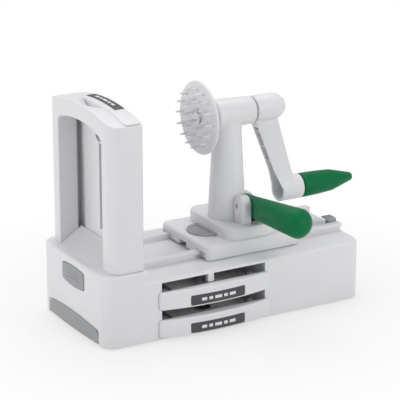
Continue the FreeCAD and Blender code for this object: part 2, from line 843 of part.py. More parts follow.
def make_lever():
    body = new_body("suction_lever")
    half = HALF_LEVER
    radius = bow_radius(HALF_WIDTH, s.end_bow)
    face = arc_drop(radius, half) - HALF_LENGTH
    back = face + s.lever_thick
    pad(body, "XY", s.lever_bottom,
        [(face, half, radius), (face, -half), (back, -half, s.lever_thick - radius), (back, half)],
        s.lever_top - s.lever_bottom)
    side_top = s.lever_top - s.lever_arch
    above = s.lever_top + 1
    pocket(body, "YZ", HINGE_X + 2,
           [(-half - 1, above), (-half - 1, side_top), (-half, side_top, -bow_radius(half, s.lever_arch)),
            (half, side_top), (half + 1, side_top), (half + 1, above)], s.lever_thick + s.end_bow + 6)
    barrel_half = half - 0.5
    round_pad(body, "XZ", -barrel_half, [(HINGE_X, s.hinge_height, s.hinge_barrel)], barrel_half * 2)
    half_cam = s.cam_width / 2
    round_pad(body, "XZ", -half_cam, [(HINGE_X + s.cam_offset, s.hinge_height, s.cam_radius)], half_cam * 2)
    round_pocket(body, "XZ", half + 1, [(HINGE_X, s.hinge_height, s.hinge_pin + s.running_gap)],
                 half * 2 + 2)
    keep(body, "suction_lever")
    pin_half = half + GAP + s.wall + 1.5
    keep(rod("lever_pin", s.hinge_pin, pin_half * 2, (HINGE_X, -pin_half, s.hinge_height), "+Y"), "lever_pin")


def make_button():
    body = new_body("release_button")
    half = s.button_width / 2
    low = s.button_z - s.button_height / 2
    high = s.button_z + s.button_height / 2
    bulge = bow_radius(half, s.button_arch)
    face = -HALF_LENGTH - s.button_proud
    pad(body, "YZ", face,
        [(s.button_middle - half, low, bulge), (s.button_middle + half, low),
         (s.button_middle + half, high, bulge), (s.button_middle - half, high)], s.button_depth)
    soften(body, 0.8, lambda edge: abs(edge.BoundBox.XMax - face.number) < 0.01)
    skin = 3.0
    spring_z = s.button_z + 2
    back = face + s.button_depth
    round_pocket(body, "YZ", back, [(s.button_middle, spring_z, 4.5)], s.button_depth - skin)
    keep(body, "release_button")
    # fork that hooks the tenons of the tower from behind
    fork = new_body("tower_latch")
    outer = LATCH_ARM
    inner = outer - s.latch_arm
    hook_front = LATCH_BACK + GAP
    hook_back = hook_front + s.latch_thick
    tip = LATCH_BACK - s.latch_engage
    wide = TENON_Y + HALF_NOTCH - GAP
    near = TENON_Y - HALF_NOTCH + GAP
    half_fork = [(back + s.fork_web, inner), (hook_back, inner), (hook_back, wide), (tip, wide), (tip, near),
                 (hook_front, near), (hook_front, outer), (back, outer)]
    corners = half_fork + [(x, -y) for x, y in reversed(half_fork)]
    corners.reverse()
    pad(fork, "XY", s.latch_level, corners, s.latch_thick)
    keep(fork, "tower_latch")
    start = Vector((face + skin + s.button_travel).number, s.button_middle.number, spring_z.number)
    end = Vector(POST_X.number, start.y, start.z)
    spring("button_spring", 4.0, 0.5, 4, start, end)


def make_stop():
    body = new_body("stop_latch")
    low = s.stop_top - s.stop_depth
    pad(body, "XZ", -s.stop_middle - s.stop_width / 2,
        [(STOP_LEFT, low), (STOP_RIGHT, low), (STOP_RIGHT, s.stop_top - 2.5),
         (STOP_RIGHT - 2, s.stop_top), (STOP_TIP, s.stop_top), (STOP_TIP, s.stop_top - 1.2),
         (STOP_LEFT, s.stop_top - s.stop_hook)], s.stop_width)
    well = s.stop_depth * 0.6
    middle = (STOP_LEFT + STOP_RIGHT) / 2
    round_pocket(body, "XY", low, [(middle, s.stop_middle, s.stop_spring + 0.4)], well, reverse=True)
    keep(body, "stop_latch")
    floor = low - s.stop_travel
    spring("stop_spring", s.stop_spring.number, 0.4, 6,
           Vector(middle.number, s.stop_middle.number, floor.number),
           Vector(middle.number, s.stop_middle.number, (low + well).number))


make_housing()
make_cover()
make_runner("left_runner", BAY_LEFT, 1)
make_runner("right_runner", BAY_RIGHT, -1)
make_suction()
make_lever()
make_button()
make_stop()


# ---------------------------------------------------------------- tower and its blades

HALF_CAP = s.cap_thick / 2
PLACES = {
    "ribbon": (PANEL_X, 0.0, SEAT, "+Z"),
    "thick": (BAY_MIDDLE, -HALF_WIDTH - GAP, s.upper_store, "stored"),
    "thin": (BAY_MIDDLE, -HALF_WIDTH - GAP, s.lower_store, "stored"),
}


def make_tower():
    body = new_body("blade_tower")
    half = HALF_TOWER
    side_top = APEX - s.arch_rise
    thick = TOWER_BACK - TOWER_FRONT
    pad(body, "YZ", TOWER_FRONT,
        [(-half, s.block_top), (half, s.block_top), (half, side_top, ARCH), (-half, side_top)], thick)
    front = TOWER_FRONT.number
    soften(body, s.tower_corner, lambda edge: upright(edge) and abs(edge.BoundBox.XMin - front) < 0.01)
    soften(body, s.tower_round, lambda edge: upright(edge) and edge.BoundBox.XMin > front + 30)
    low_rim = side_top.number - 0.01
    soften(body, s.tower_round,
           lambda edge: edge.BoundBox.ZMin > low_rim and edge.BoundBox.XMin < TOWER_BACK.number - 5)
    # seat for the cap of the cartridge
    seat_x = PANEL_X - HALF_CAP - GAP
    pocket(body, "XZ", half + 1,
           rectangle(seat_x, TOWER_BACK + 1, SEAT - GAP, APEX + 1), half * 2 + 2)
    # window with an arched top
    gate = s.window_width / 2
    window_side = APEX - s.beam_middle - s.window_rise
    pocket(body, "YZ", TOWER_FRONT - 1,
           [(-gate, s.block_top - 1), (gate, s.block_top - 1),
            (gate, window_side, bow_radius(gate, s.window_rise)),
            (-gate, window_side)], thick + 2, reverse=True)
    side = window_side.number
    soften(body, s.window_corner,
           lambda edge: edge.BoundBox.ZLength < 0.01 and abs(edge.BoundBox.ZMax - side) < 0.01
           and edge.BoundBox.XLength > 30)
    # guides for the cartridge behind the beam
    slot = s.guide_thick / 2 + GAP
    reach = s.guide_width / 2 + GAP
    foot = FOOT_LEVEL - GAP
    pocket(body, "XY", SEAT + 1, rectangle(PANEL_X - slot, PANEL_X + slot, -reach, reach), SEAT + 1 - foot)
    pocket(body, "XY", SEAT + 1, rectangle(PANEL_X, TOWER_BACK + 1, -gate, gate), SEAT + 2 - s.block_top)
    # bowl for the finger that lifts the cartridge, open to its cap
    scoop = s.scoop_width / 2
    revolve(body, [(0.0, scoop, bow_radius(scoop, s.scoop_reach)), (0.0, -scoop)], plane="XY",
            axis="V_Axis", cut=True, offset=APEX + s.scoop_reach - s.scoop_depth, shift=seat_x)
    # tenons with the notches that the latch of the base holds
    low = s.block_top - s.tenon_depth
    grip = LATCH_BACK - s.latch_engage - GAP
    for side in (-1, 1):
        middle = TENON_Y * side
        pad(body, "XY", low,
            rectangle(TENON_X - s.tenon_length / 2, LATCH_BACK, middle - HALF_TENON,
                      middle + HALF_TENON), s.tenon_depth)
        pocket(body, "XY", s.latch_level - GAP,
               rectangle(grip, LATCH_BACK + 1, middle - HALF_NOTCH, middle + HALF_NOTCH),
               s.latch_thick + GAP * 2, reverse=True)
    keep(body, "blade_tower")


def make_cartridge(kind, pitch=None):
    """A frame with its cap, blade and core ring, about the middle of the cap's lower face."""
    place = PLACES[kind]
    body = new_body(kind + "_frame")
    half = HALF_TOWER - s.cap_inset
    side_top = s.cap_high - arc_drop(ARCH, half)
    pad(body, "YZ", -HALF_CAP, [(-half, 0.0), (half, 0.0), (half, side_top, ARCH), (-half, side_top)],
        s.cap_thick)
    soften(body, s.cap_corner, upright)
    soften(body, s.cap_round, lambda edge: edge.BoundBox.ZMin > side_top.number - 0.01)
    # panel, webs and guide ribs in one outline
    panel = s.panel_width / 2
    web = s.web_width / 2
    rib = s.guide_width / 2
    slide = s.guide_thick / 2
    web_back = s.web_front + s.web_thick
    flank = [(s.panel_back, panel), (web_back, panel), (web_back, web), (slide, web), (slide, rib),
             (-slide, rib), (-slide, web), (s.web_front, web), (s.web_front, panel), (-s.panel_front, panel)]
    pad(body, "XY", 0.0, flank + [(x, -y) for x, y in reversed(flank)], s.panel_length, reverse=True)
    core_z = -s.core_drop
    round_pocket(body, "YZ", s.panel_back + 1, [(0.0, core_z, s.core_radius)],
                 s.panel_back + s.panel_front + 2)
    # slot, seat of the blade and seat of the comb
    top = -s.blade_top
    blade_length = s.panel_length - s.blade_top - s.blade_foot
    low = top - blade_length
    edge_y = -3.0
    far_y = edge_y - s.blade_flat
    seat = s.panel_back - s.blade_thick
    pocket(body, "YZ", s.panel_back + 1, rectangle(edge_y, edge_y + s.slot_width, low - 1, top + 1),
           s.panel_back + s.panel_front + 2)
    pocket(body, "YZ", s.panel_back, rectangle(far_y, edge_y + 0.5, low, top), s.blade_thick)
    screw_y = far_y + 6
    ends = [top - 4, low + 6]
    round_pocket(body, "YZ", seat, [(screw_y, z, s.screw_radius) for z in ends], 5.0)
    comb_y = edge_y + s.slot_width + 1
    if pitch:
        pocket(body, "YZ", s.panel_back, rectangle(comb_y, comb_y + s.comb_width, low, top), s.blade_thick)
    # seat of the label, which follows the arch
    label = s.label_width / 2
    inner = ARCH - s.label_thick
    label_low = s.cap_high - s.label_thick - arc_drop(inner, label)
    label_deep = s.label_front + s.label_back
    pocket(body, "YZ", -s.label_front,
           [(-label, label_low, -inner), (label, label_low), (label, s.cap_high + 1), (-label, s.cap_high + 1)],
           label_deep, reverse=True)
    keep(set_place(body, *place), kind + "_frame")

    plate = new_body(kind + "_label")
    label_top = s.cap_high - arc_drop(ARCH, label)
    pad(plate, "YZ", -s.label_front,
        [(-label, label_low, -inner), (label, label_low), (label, label_top, ARCH),
         (-label, label_top)], label_deep)
    keep(set_place(plate, *place), kind + "_label")

    blade = new_body(kind + "_blade")
    tip = s.panel_back + s.blade_rise
    pad(blade, "XY", top,
        [(s.panel_back, far_y), (s.panel_back, edge_y - 0.5), (tip, edge_y + 7), (tip - 0.5, edge_y + 7.2),
         (seat, edge_y), (seat, far_y)], blade_length, reverse=True)
    round_pocket(blade, "YZ", s.panel_back, [(screw_y, z, s.screw_radius) for z in ends], s.blade_thick)
    keep(set_place(blade, *place), kind + "_blade")

    ring = washer(kind + "_ring", s.core_radius, s.core_radius - s.core_wall,
                  s.panel_back + s.panel_front + 2.5, (-s.panel_front - 2.5, 0.0, core_z), "+X")
    keep(set_place(group(kind + "_ring_placed", [ring]), *place), kind + "_core_ring")

    screws = [screw(f"{kind}_screw_{i}", s.screw_radius, 2.6, 5.5, 1.2, (s.panel_back, screw_y, z), "-X")
              for i, z in enumerate(ends)]
    keep(set_place(group(kind + "_screws_placed", screws), *place), kind + "_screws")
    if pitch:
        make_comb(kind, pitch, comb_y, top, blade_length)


def make_comb(kind, pitch, comb_y, top, length):
    """A row of upright teeth that slits the strips to a width."""
    comb = new_body(kind + "_comb")
    seat = s.panel_back - s.blade_thick
    pad(comb, "XY", top,
        rectangle(seat, s.panel_back, comb_y, comb_y + s.comb_width), length, reverse=True)
    count = int((length / pitch).number)
    spread = pitch * (count - 1)
    tip = s.panel_back + s.blade_rise
    tooth_thick = 0.8
    first = top - (length - spread - tooth_thick) / 2
    tooth = pad(comb, "XY", first,
                [(s.panel_back - 0.3, comb_y + 1), (tip, comb_y + 2.5), (tip, comb_y + 5),
                 (s.panel_back - 0.3, comb_y + 9)], tooth_thick, reverse=True)
    row = comb.newObject("PartDesign::LinearPattern", kind + "_comb_row")
    row.Originals = [tooth]
    row.Direction = (tooth.Profile[0], ["N_Axis"])
    row.Reversed = True
    bind(row, "Length", spread)
    row.Occurrences = count
    comb.Tip = row
    keep(set_place(comb, *PLACES[kind]), kind + "_comb")


make_tower()
make_cartridge("ribbon")
make_cartridge("thick", s.thick_pitch)
make_cartridge("thin", s.thin_pitch)


# ---------------------------------------------------------------- carriage

PEDESTAL_TOP = s.plate_top + s.pedestal_height
SKIRT_LOW = s.ledge_top + 1
KEEPER_Y = s.plate_width / 2 - s.plate_skirt - GAP
WELL_FLOOR = s.plate_top - s.tab_depth
TAB_LOW = WELL_FLOOR + s.tab_travel + GAP
LUG_X = (s.lug_left + s.lug_right) / 2
HALF_LUG = (s.lug_right - s.lug_left) / 2
PIN_Y = s.lug_front + 9


def column_screws():
    """Where the screws stand that hold the column from below."""
    reach = s.column_screw
    return [(s.column_x + reach * a, reach * b) for a in (-1, 1) for b in (-1, 1)]


def keeper_screws():
    y = (s.rail_reach + GAP + KEEPER_Y) / 2
    return [(x, y * side) for side in (-1, 1)
            for x in (s.plate_left + s.keeper_screw, s.plate_right - s.keeper_screw)]


def half_disc(edge, reach):
    """Half a disc that bulges to -X from a straight edge."""
    return [(edge, -reach), (edge, reach, reach), (edge - reach, 0.0, reach)]


def make_plate():
    body = new_body("carriage_plate")
    half = s.plate_width / 2
    pad(body, "XY", SKIRT_LOW, rectangle(s.plate_left, s.plate_right, -half, half), s.plate_top - SKIRT_LOW)
    soften(body, s.plate_corner, upright)
    soften(body, 3.0, level_at(s.plate_top))
    pad(body, "XY", s.plate_top - 1,
        rectangle(s.pedestal_left, s.pedestal_right, -s.pedestal_width / 2, s.pedestal_width / 2),
        s.pedestal_height + 1)
    deep = s.plate_top.number + 2
    soften(body, s.pedestal_corner, lambda edge: upright(edge) and edge.BoundBox.ZMax > deep)
    soften(body, 2.0, level_at(PEDESTAL_TOP))
    # open below for the rails, with ribs that run between them
    inner = half - s.plate_skirt
    roof = s.rail_top + GAP
    pocket(body, "XY", SKIRT_LOW, rectangle(s.plate_left - 1, s.plate_right + 1, -inner, inner),
           roof - SKIRT_LOW, reverse=True)
    rib_low = s.deck_top + 1.5
    rib = RAIL_INNER - 0.5
    for side in (-1, 1):
        pad(body, "XY", rib_low,
            rectangle(s.plate_left, s.plate_right - 3, *sorted((7.0 * side, rib * side), key=number)),
            roof + 0.5 - rib_low)
    # hollow under the column for its screws
    hollow = s.column_screw + 8
    shelf = PEDESTAL_TOP - 5
    pocket(body, "XY", rib_low - 1,
           rectangle(s.column_x - hollow, s.column_x + hollow, -hollow, hollow), shelf - rib_low + 1,
           reverse=True)
    round_pocket(body, "XY", PEDESTAL_TOP + 1, [(x, y, s.screw_radius) for x, y in column_screws()], 7.0)
    round_pocket(body, "XY", roof - 1, [(x, y, s.screw_radius) for x, y in keeper_screws()], 6.0,
                 reverse=True)
    # well and spring seat of the release tab
    reach = s.tab_radius
    pocket(body, "XY", s.plate_top + 1, half_disc(s.pedestal_left, reach), s.tab_depth + 1)
    middle = s.pedestal_left - s.tab_radius / 2
    round_pocket(body, "XY", WELL_FLOOR, [(middle, 0.0, s.spring_seat)], 2.0)
    keep(body, "carriage_plate")
    screws = [screw(f"column_screw_{i}", s.screw_radius, s.screw_head, 13.0, 2.5, (x, y, shelf), "+Z")
              for i, (x, y) in enumerate(column_screws())]
    keep(group("column_screw_set", screws), "column_screws")


def make_tab():
    body = new_body("release_tab")
    reach = s.tab_radius - GAP
    edge = s.pedestal_left - GAP
    middle = s.pedestal_left - s.tab_radius / 2
    pad(body, "XY", TAB_LOW, half_disc(edge, reach), s.tab_thick)
    soften(body, 0.8, level_at(TAB_LOW + s.tab_thick))
    round_pocket(body, "XY", TAB_LOW, [(middle, 0.0, s.spring_seat)], s.tab_thick / 2, reverse=True)
    keep(body, "release_tab")
    spring("tab_spring", 4.0, 0.4, 3, Vector(middle.number, 0, WELL_FLOOR.number - 2),
           Vector(middle.number, 0, (TAB_LOW + s.tab_thick / 2).number))


def make_keepers():
    low = s.ledge_top + 1.5
    top = s.rail_top + GAP
    under = s.rail_top - s.rail_head - GAP
    near = s.rail_reach + GAP
    lip = s.rail_reach - s.rail_lip + 0.7
    solids = []
    for side, word in ((1, "back"), (-1, "front")):
        body = new_body("keeper_" + word)
        corners = [(lip * side, low), (KEEPER_Y * side, low), (KEEPER_Y * side, top), (near * side, top),
                   (near * side, under), (lip * side, under)]
        pad(body, "YZ", s.plate_left + 3, corners, s.plate_right - s.plate_left - 6)
        holes = [(x, y, s.screw_radius) for x, y in keeper_screws() if number(y) * side > 0]
        round_pocket(body, "XY", top, holes, top - low)
        heads = [(x, y, s.screw_head) for x, y, radius in holes]
        round_pocket(body, "XY", low, heads, 2.0, reverse=True)
        solids.append(body)
    keep(group("keeper_pair", solids), "rail_keepers")
    screws = [screw(f"keeper_screw_{i}", s.screw_radius, s.screw_head, 9.0, 1.6, (x, y, low + 2), "+Z")
              for i, (x, y) in enumerate(keeper_screws())]
    keep(group("keeper_screw_set", screws), "keeper_screws")


def tilted(thing, slide):
    """Lay a thing drawn upright along the axis of the push handle, slid along it."""
    angle = Size(90, "90") - s.handle_tilt
    away = angle.number * math.pi / 180
    run = Size(math.sin(away), f"sin({angle.formula})") * slide
    rise = Size(math.cos(away), f"cos({angle.formula})") * slide
    set_place(thing, LUG_X, s.lug_front - run, HANDLE_HEIGHT + rise)
    thing.Placement.Rotation = Rotation(Vector(1, 0, 0), angle.number)
    thing.setExpression("Placement.Rotation.Angle", angle.formula)
    return thing


def make_column():
    body = new_body("column_body")
    low = PEDESTAL_TOP - CRANK_HEIGHT
    neck = -(s.hub_big + 5)
    revolve(body, [(0.0, low), (s.column_foot, low), (s.column_neck, neck), (s.column_neck, -6.0),
                   (0.0, -6.0)], axis="V_Axis")
    left = s.hub_left - s.column_x
    right = s.hub_right - s.column_x
    revolve(body, [(left, 0.0), (right, 0.0), (right, s.hub_small - 1.5), (right - 1.5, s.hub_small),
                   (left + 1.5, s.hub_big), (left, s.hub_big - 1.5)])
    lug_left = s.lug_left - s.column_x
    lug_right = s.lug_right - s.column_x
    shoulder = s.plate_top + s.lug_rise - HALF_LUG - CRANK_HEIGHT
    pad(body, "XZ", -s.lug_front,
        [(lug_left, low), (lug_right, low), (lug_right, shoulder, HALF_LUG),
         (lug_left + HALF_LUG, shoulder + HALF_LUG, HALF_LUG), (lug_left, shoulder)],
        -s.lug_front - 12, reverse=True)
    round_pocket(body, "YZ", right + 1, [(0.0, 0.0, s.bush_radius)], s.hub_right - s.hub_left + 2)
    holes = [(x - s.column_x, y, s.screw_radius) for x, y in column_screws()]
    round_pocket(body, "XY", low, holes, 9.0, reverse=True)
    set_place(body, s.column_x, 0.0, CRANK_HEIGHT)
    inside = 14.0
    bore = tilted(rod("core_bore", s.handle_core, inside + 10, (0.0, 0.0, 0.0)), -inside)
    pin_bore = rod("pin_bore", s.roll_pin, s.lug_right - s.lug_left + 2,
                   (s.lug_left - 1, PIN_Y, HANDLE_HEIGHT), "+X")
    keep(cut("column_cut", body, [bore, pin_bore]), "column")

    core = tilted(rod("core_rod", s.handle_core, inside + s.handle_length * 0.82, (0.0, 0.0, 0.0)), -inside)
    core_hole = rod("core_pin_bore", s.roll_pin, s.lug_right - s.lug_left + 2,
                    (s.lug_left - 1, PIN_Y, HANDLE_HEIGHT), "+X")
    keep(cut("core_cut", core, [core_hole]), "handle_core")
    keep(rod("handle_pin", s.roll_pin, s.lug_right - s.lug_left + 0.6,
             (s.lug_left - 0.3, PIN_Y, HANDLE_HEIGHT), "+X"), "handle_pin")

    bushes = []
    for word, face, way, back in (("left", s.hub_left, "+X", "-X"), ("right", s.hub_right, "-X", "+X")):
        place = (face, 0.0, CRANK_HEIGHT)
        tube = rod(f"bush_{word}_tube", s.bush_radius, s.bush_length, place, way)
        flange = rod(f"bush_{word}_flange", s.bush_radius + 2, s.bush_flange, place, back)
        bore = rod(f"bush_{word}_bore", s.shaft_radius + s.running_gap, s.bush_length + s.bush_flange * 2 + 2,
                   (s.hub_left - s.bush_flange - 1 if word == "left" else s.hub_right - s.bush_length - 1,
                    0.0, CRANK_HEIGHT), "+X")
        bushes.append(cut(f"bush_{word}", fuse(f"bush_{word}_whole", [tube, flange]), [bore]))
    keep(group("bush_pair", bushes), "shaft_bushes")


def make_handle():
    body = new_body("push_handle")
    start = 1.3
    dome_high = 12.0
    dome = s.handle_length - dome_high
    core = s.handle_core
    bore = s.handle_length * 0.82 + 0.5
    revolve(body, [(core, start), (s.handle_root - 1, start), (s.handle_root, start + 1),
                   (s.handle_end, dome, bow_radius(s.handle_end, dome_high)),
                   (0.0, s.handle_length), (0.0, bore), (core, bore)],
            axis="V_Axis")
    keep(tilted(body, 0.0), "push_handle")


make_plate()
make_tab()
make_keepers()
make_column()
make_handle()


# ---------------------------------------------------------------- wheel, crank and grip

SHAFT_IN_CRANK = 30.0
AXLE_HEAD_X = 12.0


def make_wheel():
    body = new_body("pronged_wheel")
    left = s.wheel_x
    face = left + s.wheel_thick
    boss = s.hub_left - s.bush_flange - 0.5
    bore = s.shaft_radius
    revolve(body, [(left, bore), (boss, bore), (boss, s.wheel_boss - 1), (boss - 1, s.wheel_boss),
                   (face + 2, s.wheel_boss), (face, s.wheel_boss + 2), (face, s.wheel_radius - 1),
                   (face - 1, s.wheel_radius), (left + 1, s.wheel_radius), (left, s.wheel_radius - 1)])
    keep(set_place(body, 0.0, 0.0, CRANK_HEIGHT), "pronged_wheel")
    prongs = []
    for ring, count, turn in ((s.outer_ring, 16, 0.0), (s.middle_ring, 10, 0.3), (s.inner_ring, 6, 0.0)):
        for i in range(count):
            angle = turn + 2 * math.pi * i / count
            place = (left, ring * math.sin(angle), CRANK_HEIGHT + ring * math.cos(angle))
            prongs.append(spike(f"prong_{len(prongs)}", s.prong_radius, s.prong_radius / 4,
                                s.prong_length, place))
    keep(group("prong_rings", prongs), "wheel_prongs")
    keep(screw("end_screw", s.screw_radius, 6.5, 10.0, 2.0, (left, 0.0, CRANK_HEIGHT), "+X"),
         "wheel_screw")


def make_shaft():
    end = s.crank_start + SHAFT_IN_CRANK
    whole = rod("shaft_rod", s.shaft_radius, end - s.wheel_x, (s.wheel_x, 0.0, CRANK_HEIGHT), "+X")
    tap = rod("shaft_tap", s.screw_radius, 10.0, (s.wheel_x, 0.0, CRANK_HEIGHT), "+X")
    cross = rod("shaft_cross", s.hub_pin, s.shaft_radius * 4,
                (s.crank_start + s.cross_pin_x, -s.shaft_radius * 2, CRANK_HEIGHT), "+Y")
    keep(cut("shaft_cut", whole, [tap, cross]), "crank_shaft")
    reach = s.crank_hub - 0.5
    pin = rod("cross_pin", s.hub_pin, reach * 2, (s.crank_start + s.cross_pin_x, -reach, CRANK_HEIGHT), "+Y")
    keep(pin, "hub_pin")


def make_arm():
    body = new_body("crank_arm")
    arm_drop = CRANK_HEIGHT - GRIP_HEIGHT
    start = s.crank_start
    shoulder = s.boss_left - s.crank_shoulder
    tip = 3.0
    length = s.crank_nose - shoulder
    fall = s.crank_hub - tip
    ogive = (length * length + fall * fall) / (2 * fall)
    revolve(body, [(start, 0.0), (s.crank_nose, 0.0), (s.crank_nose, tip, ogive), (shoulder, s.crank_hub),
                   (start + 1, s.crank_hub), (start, s.crank_hub - 1)])
    # arm that leans away from the column, open on its inner side
    boss_top = s.crank_boss - arm_drop
    boss_low = -(arm_drop + s.crank_boss * 0.7)
    upper = -(s.crank_hub / 2)
    bend = -10.5
    inner_lean = (s.boss_left - 1 - start) / (bend - boss_low)
    outer_low = s.boss_left + 9.8
    outer_lean = (9.8 + s.arm_top_back) / (upper - boss_top)

    def inner_x(z):
        return start + inner_lean * (bend - z)

    def outer_x(z):
        return outer_low - outer_lean * (z - boss_top)

    half = s.arm_thick / 2
    pad(body, "XZ", -half,
        [(start, upper), (start, bend), (inner_x(boss_low), boss_low), (s.boss_left + 9, boss_low),
         (outer_x(boss_top), boss_top), (outer_x(upper), upper)], s.arm_thick)
    round_pad(body, "YZ", s.boss_left, [(0.0, -arm_drop, s.crank_boss)], s.boss_right - s.boss_left)
    roof = -(s.crank_hub + 6)
    floor = boss_top + 1
    skin = s.arm_wall + 0.1
    channel = half - s.arm_wall
    pocket(body, "XZ", channel,
           [(start - 5, roof), (start - 5, floor), (outer_x(floor) - skin, floor),
            (outer_x(roof) - skin, roof)], channel * 2)
    for share in (0.27, 0.455, 0.64):
        level = -arm_drop * share
        pad(body, "XZ", -channel - 0.3,
            rectangle(inner_x(level) + 1.5, outer_x(level) - s.arm_wall / 2, level - 1, level + 1),
            channel * 2 + 0.6)
    # round room in the boss for the head of the grip's axle
    room = s.crank_boss - s.arm_wall
    reach = 14.0
    round_pocket(body, "YZ", s.boss_left - reach, [(0.0, -arm_drop, room)], reach + AXLE_HEAD_X, reverse=True)
    round_pocket(body, "YZ", s.boss_right + 1, [(0.0, -arm_drop, s.axle_radius)],
                 s.boss_right - s.boss_left + 2)
    # bores for the shaft and its cross pin
    round_pocket(body, "YZ", start - 1, [(0.0, 0.0, s.shaft_radius)], SHAFT_IN_CRANK + 1, reverse=True)
    round_pocket(body, "XZ", s.crank_hub + 1, [(start + s.cross_pin_x, 0.0, s.hub_pin)], s.crank_hub * 2 + 2)
    keep(set_place(body, 0.0, 0.0, CRANK_HEIGHT), "crank_arm")


def make_grip():
    head = s.boss_left + AXLE_HEAD_X
    end = s.grip_start + s.grip_length
    axle_end = end - 7
    bead = axle_end - 4
    axle = new_body("grip_axle")
    radius = s.axle_radius
    revolve(axle, [(head - 3.5, 0.0), (axle_end, 0.0), (axle_end, radius - 0.8), (bead + 2, radius + 0.8),
                   (bead, radius + 0.8), (bead, radius), (head, radius), (head, radius + 3.5),
                   (head - 3.5, radius + 3.5)])
    keep(set_place(axle, 0.0, 0.0, GRIP_HEIGHT), "grip_axle")
    keep(washer("washer_cut", s.axle_radius + 5, s.axle_radius, s.grip_start - s.boss_right - GAP,
                (s.boss_right, 0.0, GRIP_HEIGHT), "+X"), "grip_washer")
    grip = new_body("crank_grip")
    bore = radius + s.running_gap
    room = radius + 1.2
    first = s.grip_start
    shoulder = first + s.grip_length * 0.7
    cap = 1.5
    revolve(grip, [(first, bore), (bead - GAP, bore), (bead - GAP, room), (axle_end + GAP, room),
                   (axle_end + GAP, 0.0), (end, 0.0, bow_radius(s.grip_tip, cap)), (end - cap, s.grip_tip),
                   (shoulder, s.grip_radius), (first + 1, s.grip_radius), (first, s.grip_radius - 1)])
    keep(set_place(grip, 0.0, 0.0, GRIP_HEIGHT), "crank_grip")


make_wheel()
make_shaft()
make_arm()
make_grip()


# ---------------------------------------------------------------- checks and files

def inspect():
    """Stop if any object failed, or a node's shape is missing, broken or open."""
    for thing in doc.Objects:
        if "Invalid" in thing.State or "Error" in thing.State:
            raise RuntimeError(f"{thing.Label} did not build: {thing.State}")
    for thing in KEPT:
        shape = thing.Shape
        if shape.isNull() or not shape.isValid() or not shape.Solids:
            raise RuntimeError(f"{thing.Label} has no sound solid")


def export():
    os.makedirs("parts", exist_ok=True)
    for thing in KEPT:
        thing.Shape.exportStep(f"parts/{thing.Label}.step")


doc.recompute()
inspect()
export()
print(f"{len(KEPT)} nodes written")
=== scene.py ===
"""Table-top spiral slicer with a crank: the looks around its fixed frame."""

import json
import logging
import math
from collections.abc import Callable, Iterable, Iterator, Sequence
from contextlib import contextmanager
from dataclasses import dataclass, field
from enum import Enum

import bmesh
import bpy
from mathutils import Matrix, Vector


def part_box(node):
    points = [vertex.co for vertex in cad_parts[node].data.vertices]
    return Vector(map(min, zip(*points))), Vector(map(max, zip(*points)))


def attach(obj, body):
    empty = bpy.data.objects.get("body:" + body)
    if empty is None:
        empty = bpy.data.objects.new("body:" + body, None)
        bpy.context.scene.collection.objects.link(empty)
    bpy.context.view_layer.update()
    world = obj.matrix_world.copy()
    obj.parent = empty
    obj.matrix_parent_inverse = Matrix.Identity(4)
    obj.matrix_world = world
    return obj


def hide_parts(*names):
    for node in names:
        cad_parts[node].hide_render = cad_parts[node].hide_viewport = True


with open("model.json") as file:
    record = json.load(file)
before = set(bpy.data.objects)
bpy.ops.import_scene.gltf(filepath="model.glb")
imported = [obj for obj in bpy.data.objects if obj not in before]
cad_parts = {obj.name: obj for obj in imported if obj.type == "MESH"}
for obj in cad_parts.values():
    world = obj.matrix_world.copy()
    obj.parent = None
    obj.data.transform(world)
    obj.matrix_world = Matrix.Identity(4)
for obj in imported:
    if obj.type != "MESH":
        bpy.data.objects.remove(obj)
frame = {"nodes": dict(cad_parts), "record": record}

LOG = logging.getLogger("slicer")
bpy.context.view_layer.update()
MM = 0.001
# Radius in millimetres that stands for the point of a turned piece.
POINT_RADIUS = 0.02
# Metres within which vertices are merged, in a piece and in a node's copy.
MERGE, COPY_MERGE = 0.00001, 0.000004
# Degrees between faces that still count as one flat face, in a piece and in a node's copy.
FLAT, COPY_FLAT = 0.5, 0.6
# Degrees from which an edge is broken, and below which it is shaded round.
BREAK, ROUND = 38, 32
# Slack in millimetres when an edge is picked by its place.
NEAR = 0.1
# Middle of the hanging cartridge along X, in millimetres.
PANEL_X = -120.0

Flat = tuple[float, float]
Point = tuple[float, float, float]
Test = Callable[[Vector, Vector], bool]
Thing = bpy.types.Object
Tree = bpy.types.NodeTree
Socket = bpy.types.NodeSocket


# ---- shading


def add_node(tree: Tree, kind: str, values: dict[str, object] | None = None) -> bpy.types.Node:
    """Add a shader node and set some of its inputs.

    Args:
        tree: The nodes that it is added to.
        kind: Its type, without the word that all shader nodes begin with.
        values: Values of inputs, by the inputs' names.

    Returns:
        The node.
    """
    node = tree.nodes.new("ShaderNode" + kind)
    for name, value in (values or {}).items():
        node.inputs[name].default_value = value
    return node


def wire(tree: Tree, *pairs: tuple[Socket, Socket]) -> None:
    """Link an output to an input, pair by pair."""
    for source, target in pairs:
        tree.links.new(source, target)


def mix(tree: Tree, share: Socket, first: Socket, second: Socket) -> Socket:
    """Mix two shaders.

    Args:
        tree: The nodes that the mix is added to.
        share: How much of the second shader there is.
        first: The first shader.
        second: The second shader.

    Returns:
        The mixed shader.
    """
    node = add_node(tree, "MixShader")
    wire(tree, *zip((share, first, second), node.inputs))
    return node.outputs[0]


def larger(tree: Tree, first: Socket, second: Socket) -> Socket:
    """Take the larger of two values.

    Args:
        tree: The nodes that the choice is added to.
        first: The first value.
        second: The second value.

    Returns:
        The larger value.
    """
    node = add_node(tree, "Math")
    node.operation = "MAXIMUM"
    wire(tree, (first, node.inputs[0]), (second, node.inputs[1]))
    return node.outputs[0]


